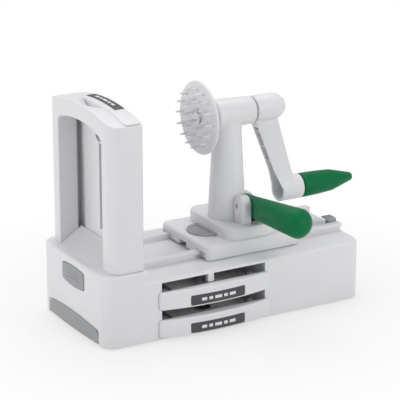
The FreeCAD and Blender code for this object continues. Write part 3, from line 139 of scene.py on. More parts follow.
class Paint(Enum):
    """The finishes that the slicer is made of, each by its slot in the record."""

    WHITE = "white_plastic"
    GREY = "grey_plastic"
    GREEN = "green_plastic"
    LABEL = "label_dark"
    STEEL = "steel"
    RUBBER = "rubber"


@dataclass(frozen=True)
class Finish:
    """A surface with a fine relief and a little variation in colour and gloss.

    Attributes:
        colour: Linear colour of the surface.
        second: Linear colour that it drifts towards in broad clouds.
        roughness: Lowest and highest roughness.
        grain: Features of the relief to the metre.
        relief: Height of the relief in metres.
        metallic: How much of a metal it is.
        stretch: How the relief is stretched along X, Y and Z.
        inner: Share of light that enters and leaves the plastic.
        depth: How far that light reaches, in metres.
        shine: How strongly the surface mirrors.
        cloud: Clouds of colour to the metre.
        bump: Strength of the relief.
    """

    colour: Point
    second: Point
    roughness: Flat
    grain: float
    relief: float
    metallic: float = 0.0
    stretch: Point = (1.0, 1.0, 1.0)
    inner: float = 0.0
    depth: float = 2 * MM
    shine: float = 0.5
    cloud: float = 28.0
    bump: float = 0.35

    def material(self, name: str) -> bpy.types.Material:
        """Make the material's nodes.

        Args:
            name: Name of the new material.

        Returns:
            The material, which reads Object coordinates only.
        """
        made = bpy.data.materials.new(name)
        made.use_nodes = True
        tree = made.node_tree
        shader = tree.nodes["Principled BSDF"]
        for key, value in (("Metallic", self.metallic), ("Specular IOR Level", self.shine),
                           ("Subsurface Weight", self.inner), ("Subsurface Scale", self.depth)):
            shader.inputs[key].default_value = value
        place = add_node(tree, "TexCoord")
        turn = add_node(tree, "Mapping", {"Scale": self.stretch})
        cloud = add_node(tree, "TexNoise", {"Scale": self.cloud, "Detail": 3.0})
        fine = add_node(tree, "TexNoise", {"Scale": self.grain, "Detail": 2.0})
        gloss = add_node(tree, "MapRange",
                         {"To Min": self.roughness[0], "To Max": self.roughness[1]})
        bump = add_node(tree, "Bump", {"Strength": self.bump, "Distance": self.relief})
        tint = add_node(tree, "Mix")
        tint.data_type = "RGBA"
        # a mix of colours has its two colours at 6 and 7, and its result at 2
        for socket, colour in zip(tint.inputs[6:8], (self.colour, self.second)):
            socket.default_value = (*colour, 1.0)
        wire(tree,
             (place.outputs["Object"], turn.inputs["Vector"]),
             (turn.outputs["Vector"], cloud.inputs["Vector"]),
             (turn.outputs["Vector"], fine.inputs["Vector"]),
             (cloud.outputs["Fac"], tint.inputs[0]),
             (tint.outputs[2], shader.inputs["Base Color"]),
             (fine.outputs["Fac"], gloss.inputs["Value"]),
             (gloss.outputs["Result"], shader.inputs["Roughness"]),
             (fine.outputs["Fac"], bump.inputs["Height"]),
             (bump.outputs["Normal"], shader.inputs["Normal"]))
        return made


FINISHES = {
    Paint.WHITE: Finish((0.76, 0.76, 0.765), (0.735, 0.735, 0.745), (0.34, 0.44), 1400.0, 0.00003,
                        inner=0.05),
    Paint.GREY: Finish((0.33, 0.335, 0.34), (0.305, 0.31, 0.315), (0.42, 0.58), 2200.0, 0.00006),
    Paint.GREEN: Finish((0.002, 0.160, 0.056), (0.001, 0.138, 0.046), (0.38, 0.48), 1600.0,
                        0.00003, shine=0.15),
    Paint.LABEL: Finish((0.055, 0.056, 0.060), (0.047, 0.048, 0.052), (0.38, 0.50), 1800.0,
                        0.00003),
    Paint.STEEL: Finish((0.62, 0.62, 0.64), (0.55, 0.55, 0.57), (0.20, 0.36), 900.0, 0.00001,
                        metallic=1.0, stretch=(1.0, 1.0, 0.06)),
    Paint.RUBBER: Finish((0.045, 0.045, 0.045), (0.055, 0.055, 0.055), (0.60, 0.80), 1500.0,
                         0.00005),
}


class Palette:
    """Makes each finish once and puts it on objects."""

    def __init__(self) -> None:
        """Make the materials of all the finishes."""
        self.made = {paint: finish.material(paint.value + "_look")
                     for paint, finish in FINISHES.items()}

    def dress(self, thing: Thing, paint: Paint) -> None:
        """Give an object one finish all over."""
        thing.data.materials.clear()
        thing.data.materials.append(self.made[paint])


# ---- bench


def clear() -> None:
    """Leave edit mode and deselect everything."""
    if bpy.context.object and bpy.context.object.mode != "OBJECT":
        bpy.ops.object.mode_set(mode="OBJECT")
    bpy.ops.object.select_all(action="DESELECT")


def take(thing: Thing) -> None:
    """Make an object the only selected one, and the active one.

    Args:
        thing: The object.
    """
    clear()
    thing.select_set(True)
    bpy.context.view_layer.objects.active = thing


@contextmanager
def editing(choice: str = "SELECT") -> Iterator[None]:
    """Edit the active object for a while.

    Args:
        choice: "SELECT" to start with all of it selected, "DESELECT" with nothing.

    Yields:
        Nothing; edit mode ends with the block.
    """
    bpy.ops.object.mode_set(mode="EDIT")
    bpy.ops.mesh.select_all(action=choice)
    yield
    bpy.ops.object.mode_set(mode="OBJECT")


def settle(thing: Thing) -> Thing:
    """Put an object's place, turn and scale into its mesh.

    Args:
        thing: The object.

    Returns:
        The object.
    """
    take(thing)
    bpy.ops.object.transform_apply(location=True, rotation=True, scale=True)
    return thing


def named(name: str) -> Thing:
    """Name the active object and its mesh.

    Args:
        name: The new name.

    Returns:
        The object.
    """
    thing = bpy.context.object
    thing.name = name
    thing.data.name = name
    return thing


def twin(thing: Thing) -> Thing:
    """Copy an object with its mesh into the scene.

    Args:
        thing: The object.

    Returns:
        The copy.
    """
    copy = thing.copy()
    copy.data = thing.data.copy()
    bpy.context.scene.collection.objects.link(copy)
    return copy


def merge(thing: Thing, distance: float, angle: float) -> None:
    """Merge the vertices of a piece that are close, and its faces that are flat.

    Args:
        thing: The piece.
        distance: Metres within which vertices are one.
        angle: Degrees within which faces are one.
    """
    take(thing)
    with editing():
        bpy.ops.mesh.remove_doubles(threshold=distance)
        bpy.ops.mesh.dissolve_limited(angle_limit=math.radians(angle))


def refined(node: str, name: str) -> Thing:
    """Copy a node's mesh and merge its loose triangles into whole faces.

    Args:
        node: Name of the node.
        name: Name of the copy.

    Returns:
        The copy.
    """
    clear()
    copy = twin(frame["nodes"][node])
    copy.parent = None
    copy.matrix_world = Matrix.Identity(4)
    copy.name = name
    copy.data.name = name
    merge(copy, COPY_MERGE, COPY_FLAT)
    return copy


def block(name: str, low: Sequence[float], high: Sequence[float]) -> Thing:
    """Add a cube that reaches from one corner to another.

    Args:
        name: Name of the piece.
        low: Its lowest corner, in millimetres.
        high: Its highest corner.

    Returns:
        The piece.
    """
    clear()
    middle = [(a + b) / 2 * MM for a, b in zip(low, high)]
    bpy.ops.mesh.primitive_cube_add(size=1.0, location=middle)
    thing = named(name)
    thing.scale = [abs(b - a) * MM for a, b in zip(low, high)]
    return settle(thing)


TURNS = {"X": (0.0, math.pi / 2, 0.0), "Y": (-math.pi / 2, 0.0, 0.0), "Z": (0.0, 0.0, 0.0)}


def turned(name: str, rings: Sequence[Flat], axis: str, centre: Point, steps: int = 32) -> Thing:
    """Shape a round piece ring by ring, as on a lathe.

    Args:
        name: Name of the piece.
        rings: Place along the axis and radius of each ring, in order. The first and last
            rings are closed with a flat cap, or a point where their radius is 0.
        axis: "X", "Y" or "Z".
        centre: A point on the axis, in millimetres; the places count from it.
        steps: Sides of the round.

    Returns:
        The closed piece.
    """
    clear()
    place, size = rings[0][0], max(rings[0][1], POINT_RADIUS)
    bpy.ops.mesh.primitive_circle_add(vertices=steps, radius=size * MM, fill_type="NGON",
                                      location=(0, 0, place * MM))
    thing = named(name)
    with editing():
        for step, wide in rings[1:]:
            wide = max(wide, POINT_RADIUS)
            bpy.ops.mesh.extrude_region_move(
                TRANSFORM_OT_translate={"value": (0, 0, (step - place) * MM)})
            # the new ring is scaled across the axis only, about a point on it
            bpy.ops.transform.resize(value=(wide / size, wide / size, 1),
                                     center_override=(0, 0, step * MM))
            place, size = step, wide
        bpy.ops.mesh.select_all(action="SELECT")
        bpy.ops.mesh.remove_doubles(threshold=MERGE)
        bpy.ops.mesh.normals_make_consistent(inside=False)
    # the first ring's place goes into the mesh, so that the piece turns about its own zero
    settle(thing)
    thing.rotation_euler = TURNS[axis]
    thing.location = [v * MM for v in centre]
    return settle(thing)


def prism(name: str, outline: Sequence[Flat], axis: str, low: float, high: float) -> Thing:
    """Draw a flat outline across an axis and extrude it.

    Args:
        name: Name of the piece.
        outline: Corners in millimetres: (y, z) for axis "X", (x, z) for "Y", (x, y) for "Z".
        axis: The way that it is extruded.
        low: Where it starts along the axis.
        high: Where it ends.

    Returns:
        The closed piece.
    """
    clear()
    bpy.ops.mesh.primitive_circle_add(vertices=len(outline), radius=MM, fill_type="NGON")
    thing = named(name)
    order, way = {"X": (lambda a, b: (low, a, b), (1, 0, 0)),
                  "Y": (lambda a, b: (a, low, b), (0, 1, 0)),
                  "Z": (lambda a, b: (a, b, low), (0, 0, 1))}[axis]
    for vertex, corner in zip(thing.data.vertices, outline):
        vertex.co = Vector(order(*corner)) * MM
    with editing():
        bpy.ops.mesh.extrude_region_move(
            TRANSFORM_OT_translate={"value": [v * (high - low) * MM for v in way]})
        bpy.ops.mesh.select_all(action="SELECT")
        bpy.ops.mesh.normals_make_consistent(inside=False)
    return thing


def soften(thing: Thing, radius: float, wanted: Test, segments: int = 5,
           sharp: float = 0.0) -> Thing:
    """Bevel some edges of a piece.

    Args:
        thing: The piece.
        radius: Width of the bevel in millimetres.
        wanted: Test of an edge's two ends, in millimetres.
        segments: Steps of the bevel.
        sharp: The least angle between an edge's faces, in degrees.

    Returns:
        The piece.
    """
    take(thing)
    with editing("DESELECT"):
        bpy.ops.mesh.select_mode(type="EDGE")
        mesh = bmesh.from_edit_mesh(thing.data)
        for edge in mesh.edges:
            first, second = (v.co / MM for v in edge.verts)
            if edge.calc_face_angle(0.0) >= math.radians(sharp) and wanted(first, second):
                edge.select_set(True)
        bmesh.update_edit_mesh(thing.data)
        bpy.ops.mesh.bevel(offset=radius * MM, segments=segments, affect="EDGES",
                           clamp_overlap=True)
    return thing


def combine(thing: Thing, others: Iterable[Thing], way: str) -> Thing:
    """Join to, or cut from, a piece each of the others, which are used up.

    Args:
        thing: The piece that stays.
        others: The pieces that are added or taken away.
        way: "UNION", "DIFFERENCE" or "INTERSECT".

    Returns:
        The piece.
    """
    for other in others:
        take(thing)
        change = thing.modifiers.new("change", "BOOLEAN")
        change.operation = way
        change.solver = "EXACT"
        change.object = other
        bpy.ops.object.modifier_apply(modifier=change.name)
        bpy.data.objects.remove(other)
    return thing


def cut(thing: Thing, *others: Thing) -> Thing:
    """Cut the others from a piece."""
    return combine(thing, others, "DIFFERENCE")


def weld(thing: Thing, *others: Thing) -> Thing:
    """Join the others to a piece."""
    return combine(thing, others, "UNION")


def smooth(thing: Thing, edge: float, segments: int = 2) -> Thing:
    """Break the sharp edges that are left and shade the rest smooth.

    Args:
        thing: The piece.
        edge: Width of the broken edge in millimetres; 0 leaves the edges sharp.
        segments: Steps of the broken edge.

    Returns:
        The piece.
    """
    merge(thing, MERGE, FLAT)
    if edge:
        bevel = thing.modifiers.new("edge", "BEVEL")
        bevel.width = edge * MM
        bevel.segments = segments
        bevel.limit_method = "ANGLE"
        bevel.angle_limit = math.radians(BREAK)
        bevel.use_clamp_overlap = True
        bpy.ops.object.modifier_apply(modifier=bevel.name)
    bpy.ops.object.shade_smooth_by_angle(angle=math.radians(ROUND))
    return thing


def seal(thing: Thing) -> Thing:
    """Close the slit that a boolean left between nearly straight edges.

    Args:
        thing: The piece, with one slit or none.

    Returns:
        The piece.
    """
    take(thing)
    with editing("DESELECT"):
        bpy.ops.mesh.select_mode(type="EDGE")
        bpy.ops.mesh.select_non_manifold(extend=False)
        if thing.data.total_edge_sel:
            bpy.ops.mesh.edge_face_add()
    return thing


def arc(centre: Flat, radius: float, start: float, end: float, steps: int) -> list[Flat]:
    """Points of an arc, its angles in degrees, both ends included."""
    angles = [math.radians(start + (end - start) * i / steps) for i in range(steps + 1)]
    return [(centre[0] + radius * math.cos(a), centre[1] + radius * math.sin(a)) for a in angles]


def bow(half: float, rise: float) -> float:
    """Give the radius of an arc from its half width and its rise."""
    return (half * half + rise * rise) / (2 * rise)


def crown(half: float, top: float, radius: float, steps: int) -> list[Flat]:
    """Points of an arch from +half to -half, whose middle is its top."""
    reach = math.degrees(math.asin(half / radius))
    return arc((0.0, top - radius), radius, 90 - reach, 90 + reach, steps)


@dataclass(frozen=True)
class Span:
    """A node's place at rest, in millimetres.

    Attributes:
        x: Its least and greatest X.
        y: Its least and greatest Y.
        z: Its least and greatest Z.
    """

    x: Flat
    y: Flat
    z: Flat

    @classmethod
    def of(cls, node: str) -> "Span":
        """Read the place of a node from the frame."""
        low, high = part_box(node)
        return cls(*((a / MM, b / MM) for a, b in zip(low, high)))

    def middle(self) -> Point:
        """Give the middle of the place."""
        return tuple(sum(side) / 2 for side in (self.x, self.y, self.z))


@dataclass
class SubAssembly:
    """A group of pieces that are made and dressed together.

    Attributes:
        palette: The materials.
        made: The pieces that are done.
    """

    palette: Palette
    made: list[Thing] = field(default_factory=list)

    def add(self, piece: Thing, body: str, paint: Paint, *nodes: str) -> None:
        """Dress a finished piece, hang it on its body and hide the nodes that it stands for.

        Args:
            piece: The piece.
            body: The body that it moves with.
            paint: Its finish.
            *nodes: The nodes that it stands for.
        """
        self.palette.dress(piece, paint)
        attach(piece, body)
        if nodes:
            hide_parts(*nodes)
        self.made.append(piece)

    def sharpen(self, node: str, body: str, paint: Paint, edge: float = 0.3) -> None:
        """Stand in for a node with the same shape and softly broken edges."""
        self.add(smooth(refined(node, node + "_look"), edge), body, paint, node)


# ---- base


@dataclass
class Tower(SubAssembly):
    """The upright arch that the cartridge hangs in.

    Attributes:
        corner: Radius of the front corners.
        edge: Radius of the back corners.
        upright: The least length of such a corner.
        rim: Radius of the edge round the top.
        rise: How far the top rises to the middle.
        half_window: Half the window's width.
        sill: Height of the block below.
        seam: Gap between the legs and the block.
        beam: From the top down to the window.
        window_rise: Rise of the window's arched top.
        window_corner: Radius of the window's upper corners.
        lip: Radius of the window's front edge.
        slot: The cartridge's slot along X.
        slot_half: Half the slot's width.
        slot_foot: Height of the slot's foot.
        seat: Height and front of the cap's seat.
        scoop: The finger bowl's half width, reach and height above the top.
        tenon: Inner and outer side of a tenon.
        tenon_x: The tenons along X.
    """

    corner: float = 13.0
    edge: float = 4.0
    upright: float = 50.0
    rim: float = 3.0
    rise: float = 9.3
    half_window: float = 49.0
    sill: float = 81.0
    seam: float = 0.5
    beam: float = 17.5
    window_rise: float = 8.0
    window_corner: float = 5.5
    lip: float = 1.6
    slot: Flat = (-126.0, -114.0)
    slot_half: float = 60.0
    slot_foot: float = 93.3
    seat: Flat = (237.0, -130.6)
    scoop: Point = (26.0, 14.0, 4.0)
    tenon: Flat = (53.0, 67.0)
    tenon_x: Flat = (-139.5, -118.5)

    def build(self) -> None:
        """Model the tower from a block, an arch over it and the rooms inside it."""
        place = Span.of("blade_tower")
        front, back = place.x
        half, top = place.y[1], place.z[1]
        foot = self.sill + self.seam
        side = top - self.rise - 1
        lid, reach, gate = self.seat[0] + 1, self.slot_half, self.half_window
        body = block("tower", (front, -half, foot), (back, half, top))
        soften(body, self.corner, lambda a, b: max(a.x, b.x) < front + 1
               and abs(a.z - b.z) > self.upright, segments=14)
        soften(body, self.edge, lambda a, b: min(a.x, b.x) > back - 1
               and abs(a.z - b.z) > self.upright, segments=6)
        under = [(-half - 2, foot - 1), (half + 2, foot - 1),
                 *crown(half + 2, top, bow(half, self.rise), 48)]
        combine(body, [prism("arch", under, "X", front - 1, back + 1)], "INTERSECT")
        cut(body, self._window(front, back, top),
            block("guide_slot", (self.slot[0], -reach, self.slot_foot),
                  (self.slot[1], reach, lid)),
            block("rear_slot", (PANEL_X, -gate, self.sill - 1), (back + 1, gate, lid)))
        soften(body, self.rim, lambda a, b: min(a.z, b.z) > side
               and abs(a.x - b.x) < self.corner and abs(a.z - b.z) < self.corner
               and max(abs(a.z - lid), abs(b.z - lid)) > 0.01, sharp=50)
        cut(body, block("cap_seat", (self.seat[1], -half - 1, self.seat[0]),
                        (back + 1, half + 1, top + 1)), self._bowl(top))
        for way in (-1, 1):
            near, far = (way * v for v in self.tenon)
            weld(body, block("tenon", (self.tenon_x[0], min(near, far), place.z[0]),
                             (self.tenon_x[1], max(near, far), self.sill + 1)))
        soften(body, self.lip, lambda a, b: max(a.x, b.x) < front + NEAR
               and max(abs(a.y), abs(b.y)) < gate + 0.2
               and self.sill < min(a.z, b.z) and max(a.z, b.z) < side, segments=4, sharp=50)
        self.add(smooth(body, 0.7, 3), "base", Paint.WHITE, "blade_tower")

    def _window(self, front: float, back: float, top: float) -> Thing:
        """Shape the room of the window, with its arched top and round corners.

        Args:
            front: The tower's front along X.
            back: Its back.
            top: Its highest point.

        Returns:
            The room, to be cut out.
        """
        gate = self.half_window
        outline = [(-gate, self.sill - 1), (gate, self.sill - 1),
                   *crown(gate, top - self.beam, bow(gate, self.window_rise), 12)]
        room = prism("window_room", outline, "X", front - 1, back + 1)
        side = top - self.beam - self.window_rise - 1
        return soften(room, self.window_corner,
                      lambda a, b: abs(a.x - b.x) > 20 and abs(abs(a.y) - gate) < NEAR
                      and a.z > side, segments=8)

    def _bowl(self, top: float) -> Thing:
        """Shape the bowl for a finger as a lens, turned about a line along Y.

        Args:
            top: The tower's highest point.

        Returns:
            The bowl, to be cut out.
        """
        half, reach, above = self.scoop
        radius = bow(half, reach)
        turn = math.degrees(math.asin(half / radius))
        rings = [(x, max(y + reach - radius, 0))
                 for x, y in arc((0.0, 0.0), radius, 90 + turn, 90 - turn, 28)]
        return turned("bowl", rings, "Y", (self.seat[1], 0.0, top + above), 72)


@dataclass
class Base(SubAssembly):
    """The housing with the button, the lever and the stop latch.

    Attributes:
        button_arch: How far the button bulges up and down.
        button_corner: Radius of its corners.
        button_gap: How much smaller it is all round than its node.
        button_back: How far its face is set back.
        ribs: Number of its grip ribs.
        rib_pitch: From one rib to the next.
        rib_radius: Radius of a rib's ends and of the rib.
        rib_share: Reach of the middle rib and what the next one lacks, of half the button.
        spring_seat: Radius, depth, setback and height of the spring's seat.
        lever_top: Height of the lever's top and its fall to the ends.
        lever_gap: How much smaller the lever is than its node.
        lever_corner: Radius of its shoulders.
        lever_x: Reach along X that holds the lever.
        slant: How fast the lever's and the button's top rise from their ends.
        play: How far the openings' corners lie outside the pieces.
        fillet_front: Front of the lever's and of the button's fillets.
        fillet_back: Back of all these fillets.
    """

    button_arch: float = 2.5
    button_corner: float = 3.4
    button_gap: float = 0.45
    button_back: float = 0.6
    ribs: int = 3
    rib_pitch: float = 3.6
    rib_radius: Flat = (0.3, 0.9)
    rib_share: Flat = (0.60, 0.10)
    spring_seat: tuple[float, float, float, float] = (4.5, 8.0, 3.0, 2.0)
    lever_top: Flat = (23.5, 5.0)
    lever_gap: float = 0.5
    lever_corner: float = 8.0
    lever_x: Flat = (-170.0, -140.0)
    slant: Flat = (0.155, 0.2)
    play: float = 0.3
    fillet_front: Flat = (-157.2, -159.3)
    fillet_back: float = -153.5

    def build(self) -> None:
        """Model the pieces of the base."""
        self._housing()
        self._button()
        self._lever()
        self.sharpen("stop_latch", "stop", Paint.GREY, 0.6)

    @staticmethod
    def _shoulder(spot: Flat, ways: tuple[int, int], radius: float, slant: float,
                  steps: int = 8) -> list[Flat]:
        """Points of a round corner below a slanting top, from its upright side to its top.

        Args:
            spot: Where the sharp corner would be, across and up.
            ways: The signs of the corner's sideways and upward way.
            radius: How far the round reaches from the corner.
            slant: How fast the top rises away from the corner.
            steps: Steps of the round.

        Returns:
            The points.
        """
        points = []
        for i in range(steps + 1):
            turn = math.pi / 2 * i / steps
            across = -radius * (1 - math.cos(turn))
            up = -radius * (1 - math.sin(turn)) - across * slant
            points.append((spot[0] + ways[0] * across, spot[1] + ways[1] * up))
        return points

    def _housing(self) -> None:
        """Round off the corners of the lever's and the button's openings in the housing."""
        housing = refined("base_housing", "base_housing_look")
        lever, button = Span.of("suction_lever"), Span.of("release_button")
        play = self.play
        corners = [((way * (lever.y[1] + play), self.lever_top[0] - self.lever_top[1] + play),
                    (way, 1), self.lever_corner + 0.5, self.slant[0], self.fillet_front[0])
                   for way in (-1, 1)]
        for y, across in zip(button.y, (-1, 1)):
            for z, up in zip(button.z, (-1, 1)):
                spot = (y + across * play, z - up * (self.button_arch - play))
                corners.append((spot, (across, up), self.button_corner + play, self.slant[1],
                                self.fillet_front[1]))
        for spot, ways, radius, slant, front in corners:
            inside = self._shoulder(spot, ways, radius, slant)
            outline = [(spot[0] + ways[0], inside[0][1]),
                       (spot[0] + ways[0], spot[1] + ways[1] * 1.5),
                       (inside[-1][0], inside[-1][1] + ways[1] * 1.0), *reversed(inside)]
            weld(housing, prism("corner", outline, "X", front, self.fillet_back))
        self.add(seal(smooth(housing, 0.3)), "base", Paint.WHITE, "base_housing")

    def _lever(self) -> None:
        """Trim the lever's copy to an arch with round shoulders and a fine gap."""
        lever = refined("suction_lever", "suction_lever_look")
        top, rise = self.lever_top
        half = Span.of("suction_lever").y[1] - self.lever_gap
        side = top - rise - self.lever_gap
        right = self._shoulder((half, side), (1, 1), self.lever_corner, self.slant[0])
        left = self._shoulder((-half, side), (-1, 1), self.lever_corner, self.slant[0])
        arch = crown(right[-1][0], top - self.lever_gap, bow(half, rise), 24)[1:-1]
        outline = [(-half, 0.0), (half, 0.0), *right, *arch, *reversed(left)]
        combine(lever, [prism("trim", outline, "X", *self.lever_x)], "INTERSECT")
        self.add(smooth(lever, 0.8), "lever", Paint.GREY, "suction_lever")

    def _button(self) -> None:
        """Shape the leaf-shaped button with a crowned face and grip ribs."""
        place = Span.of("release_button")
        left, right = place.x
        _, middle, height = place.middle()
        half = (place.y[1] - place.y[0]) / 2 - self.button_gap
        tall = (place.z[1] - place.z[0]) / 2 - self.button_gap
        leaf = crown(half, tall, bow(half, self.button_arch), 10)
        leaf += [(-y, -z) for y, z in leaf]
        body = prism("button", [(y + middle, z + height) for y, z in leaf], "X",
                     left + self.button_back, right)
        soften(body, self.button_corner,
               lambda a, b: abs(a.x - b.x) > 5 and abs(abs(a.y - middle) - half) < NEAR,
               segments=6)
        soften(body, 1.0, lambda a, b: max(a.x, b.x) < left + 1, segments=4, sharp=50)
        thin, thick = self.rib_radius
        for i in range(self.ribs):
            shift = i - (self.ribs - 1) / 2
            reach = half * (self.rib_share[0] - self.rib_share[1] * abs(shift))
            rings = [(-reach, thin), (-reach + 0.6, thick), (reach - 0.6, thick), (reach, thin)]
            spot = (left + thick, middle, height + shift * self.rib_pitch)
            weld(body, turned("bar", rings, "Y", spot, 16))
        wide, deep, behind, over = self.spring_seat
        cut(body, turned("spring_seat", [(0, wide), (deep, wide)], "X",
                         (left + behind, middle, height + over)))
        self.add(smooth(body, 0.12, 1), "button", Paint.GREY, "release_button")


# ---- cartridges


class Store(Enum):
    """The cartridges, by the word that begins the names of their nodes."""

    RIBBON = "ribbon"
    THICK = "thick"
    THIN = "thin"


@dataclass
class Cartridge(SubAssembly):
    """A blade cartridge: its frame, and the label on its cap.

    Attributes:
        store: Which cartridge it is.
        half_tower: Half the width of the cap's arch.
        rise: Rise of that arch.
        cap_high: Height of the cap's middle.
        half_label: Half the label's length.
        label: The label along the cap's X.
        label_thick: Thickness of the label.
        label_high: How much its floor and top are raised.
        inset: Gap between the label and its recess.
        corner: Radius of the label's corners.
        tongue: Inner and outer side of a guiding tongue.
        tongue_x: What is cut from its front, along the cap's X.
        tongue_high: Foot and head of that cut.
        bars: Start and end of each raised bar.
        bar_half: Half the width of a bar.
        bar_high: Floor and top of a bar over the cap.
    """

    store: Store = Store.RIBBON
    half_tower: float = 71.0
    rise: float = 9.3
    cap_high: float = 10.2
    half_label: float = 33.0
    label: Flat = (-2.8, 8.6)
    label_thick: float = 1.0
    label_high: Flat = (0.02, 0.12)
    inset: float = 0.35
    corner: float = 2.2
    tongue: Flat = (49.9, 57.0)
    tongue_x: Flat = (-7.0, 1.0)
    tongue_high: Flat = (-161.0, -17.0)
    bars: tuple[Flat, ...] = ((-20.5, -14.5), (-12.0, -7.5), (-5.0, 3.5), (6.0, 10.5),
                              (13.0, 20.5))
    bar_half: float = 1.7
    bar_high: Flat = (-0.1, 0.28)

    def build(self) -> None:
        """Model the frame and its label."""
        kind = self.store.value
        body = kind + "_cartridge"
        frame_look = refined(kind + "_frame", kind + "_frame_look")
        near, far = self.tongue
        (left, right), (low, high) = self.tongue_x, self.tongue_high
        for start, end in ((near, far), (-far, -near)):
            waste = block("set_back", (left, start, low), (right, end, high))
            cut(frame_look, self._stored(waste))
        self.add(smooth(frame_look, 0.4), body, Paint.WHITE, kind + "_frame")
        self.add(self._label(kind), body, Paint.LABEL, kind + "_label")
        for i, (start, end) in enumerate(self.bars):
            self.add(self._bar(kind, i, start, end), body, Paint.WHITE)

    def _arched(self, name: str, y: Flat, z: Flat, x: Flat, steps: int) -> Thing:
        """Shape a slab that follows the arch of the cap.

        Args:
            name: Name of the slab.
            y: Its two ends across the cap.
            z: Its floor and top over the cap.
            x: Its two sides.
            steps: Steps of its arch.

        Returns:
            The slab.
        """
        radius = bow(self.half_tower, self.rise)
        centre = (0.0, self.cap_high - radius)
        start, end = (math.degrees(math.acos(v / radius)) for v in y)
        upper = arc(centre, radius + z[1], end, start, steps)
        lower = arc(centre, radius + z[0], start, end, steps)
        return prism(name, upper + lower, "X", *x)

    def _label(self, kind: str) -> Thing:
        """Shape the rounded label plate, a little smaller than its recess.

        Args:
            kind: The word that begins the names of the cartridge's nodes.

        Returns:
            The plate, in its place.
        """
        half = self.half_label - self.inset
        floor, top = self.label_high
        plate = self._arched(kind + "_label_look", (-half, half),
                             (-self.label_thick + floor, top),
                             (self.label[0] + self.inset, self.label[1] - self.inset), 24)
        soften(plate, self.corner, lambda a, b: abs(a.y - b.y) < 0.2
               and abs(a.x - b.x) < NEAR and abs(abs(a.y) - half) < 0.5)
        return self._stored(smooth(plate, 0.2))

    def _bar(self, kind: str, index: int, start: float, end: float) -> Thing:
        """Shape one raised bar of the label's plain pattern.

        Args:
            kind: The word that begins the names of the cartridge's nodes.
            index: Number of the bar.
            start: Where the bar starts along the label.
            end: Where it ends.

        Returns:
            The bar, in its place.
        """
        middle = sum(self.label) / 2
        bar = self._arched(f"{kind}_bar_{index}", (start, end), self.bar_high,
                           (middle - self.bar_half, middle + self.bar_half), 6)
        soften(bar, 0.6, lambda a, b: abs(a.x - b.x) < NEAR and abs(a.y - b.y) < NEAR,
               segments=3)
        return self._stored(smooth(bar, 0.1, 1))

    def _stored(self, piece: Thing) -> Thing:
        """Move a piece from the cap's own place to where the cartridge is.

        Args:
            piece: The piece, made about the middle of the cap's lower face.

        Returns:
            The piece.
        """
        cap = Span.of(self.store.value + "_frame")
        if self.store is Store.RIBBON:
            place = Vector((PANEL_X, 0.0, cap.z[1] - self.cap_high))
            piece.matrix_world = Matrix.Translation(place * MM)
        else:
            turn = Matrix(((0, 1, 0, 0), (0, 0, -1, 0), (-1, 0, 0, 0), (0, 0, 0, 1)))
            middle = cap.middle()
            place = Vector((middle[0], cap.y[0] + self.cap_high, middle[2]))
            piece.matrix_world = Matrix.Translation(place * MM) @ turn
        return settle(piece)


# ---- carriage and crank


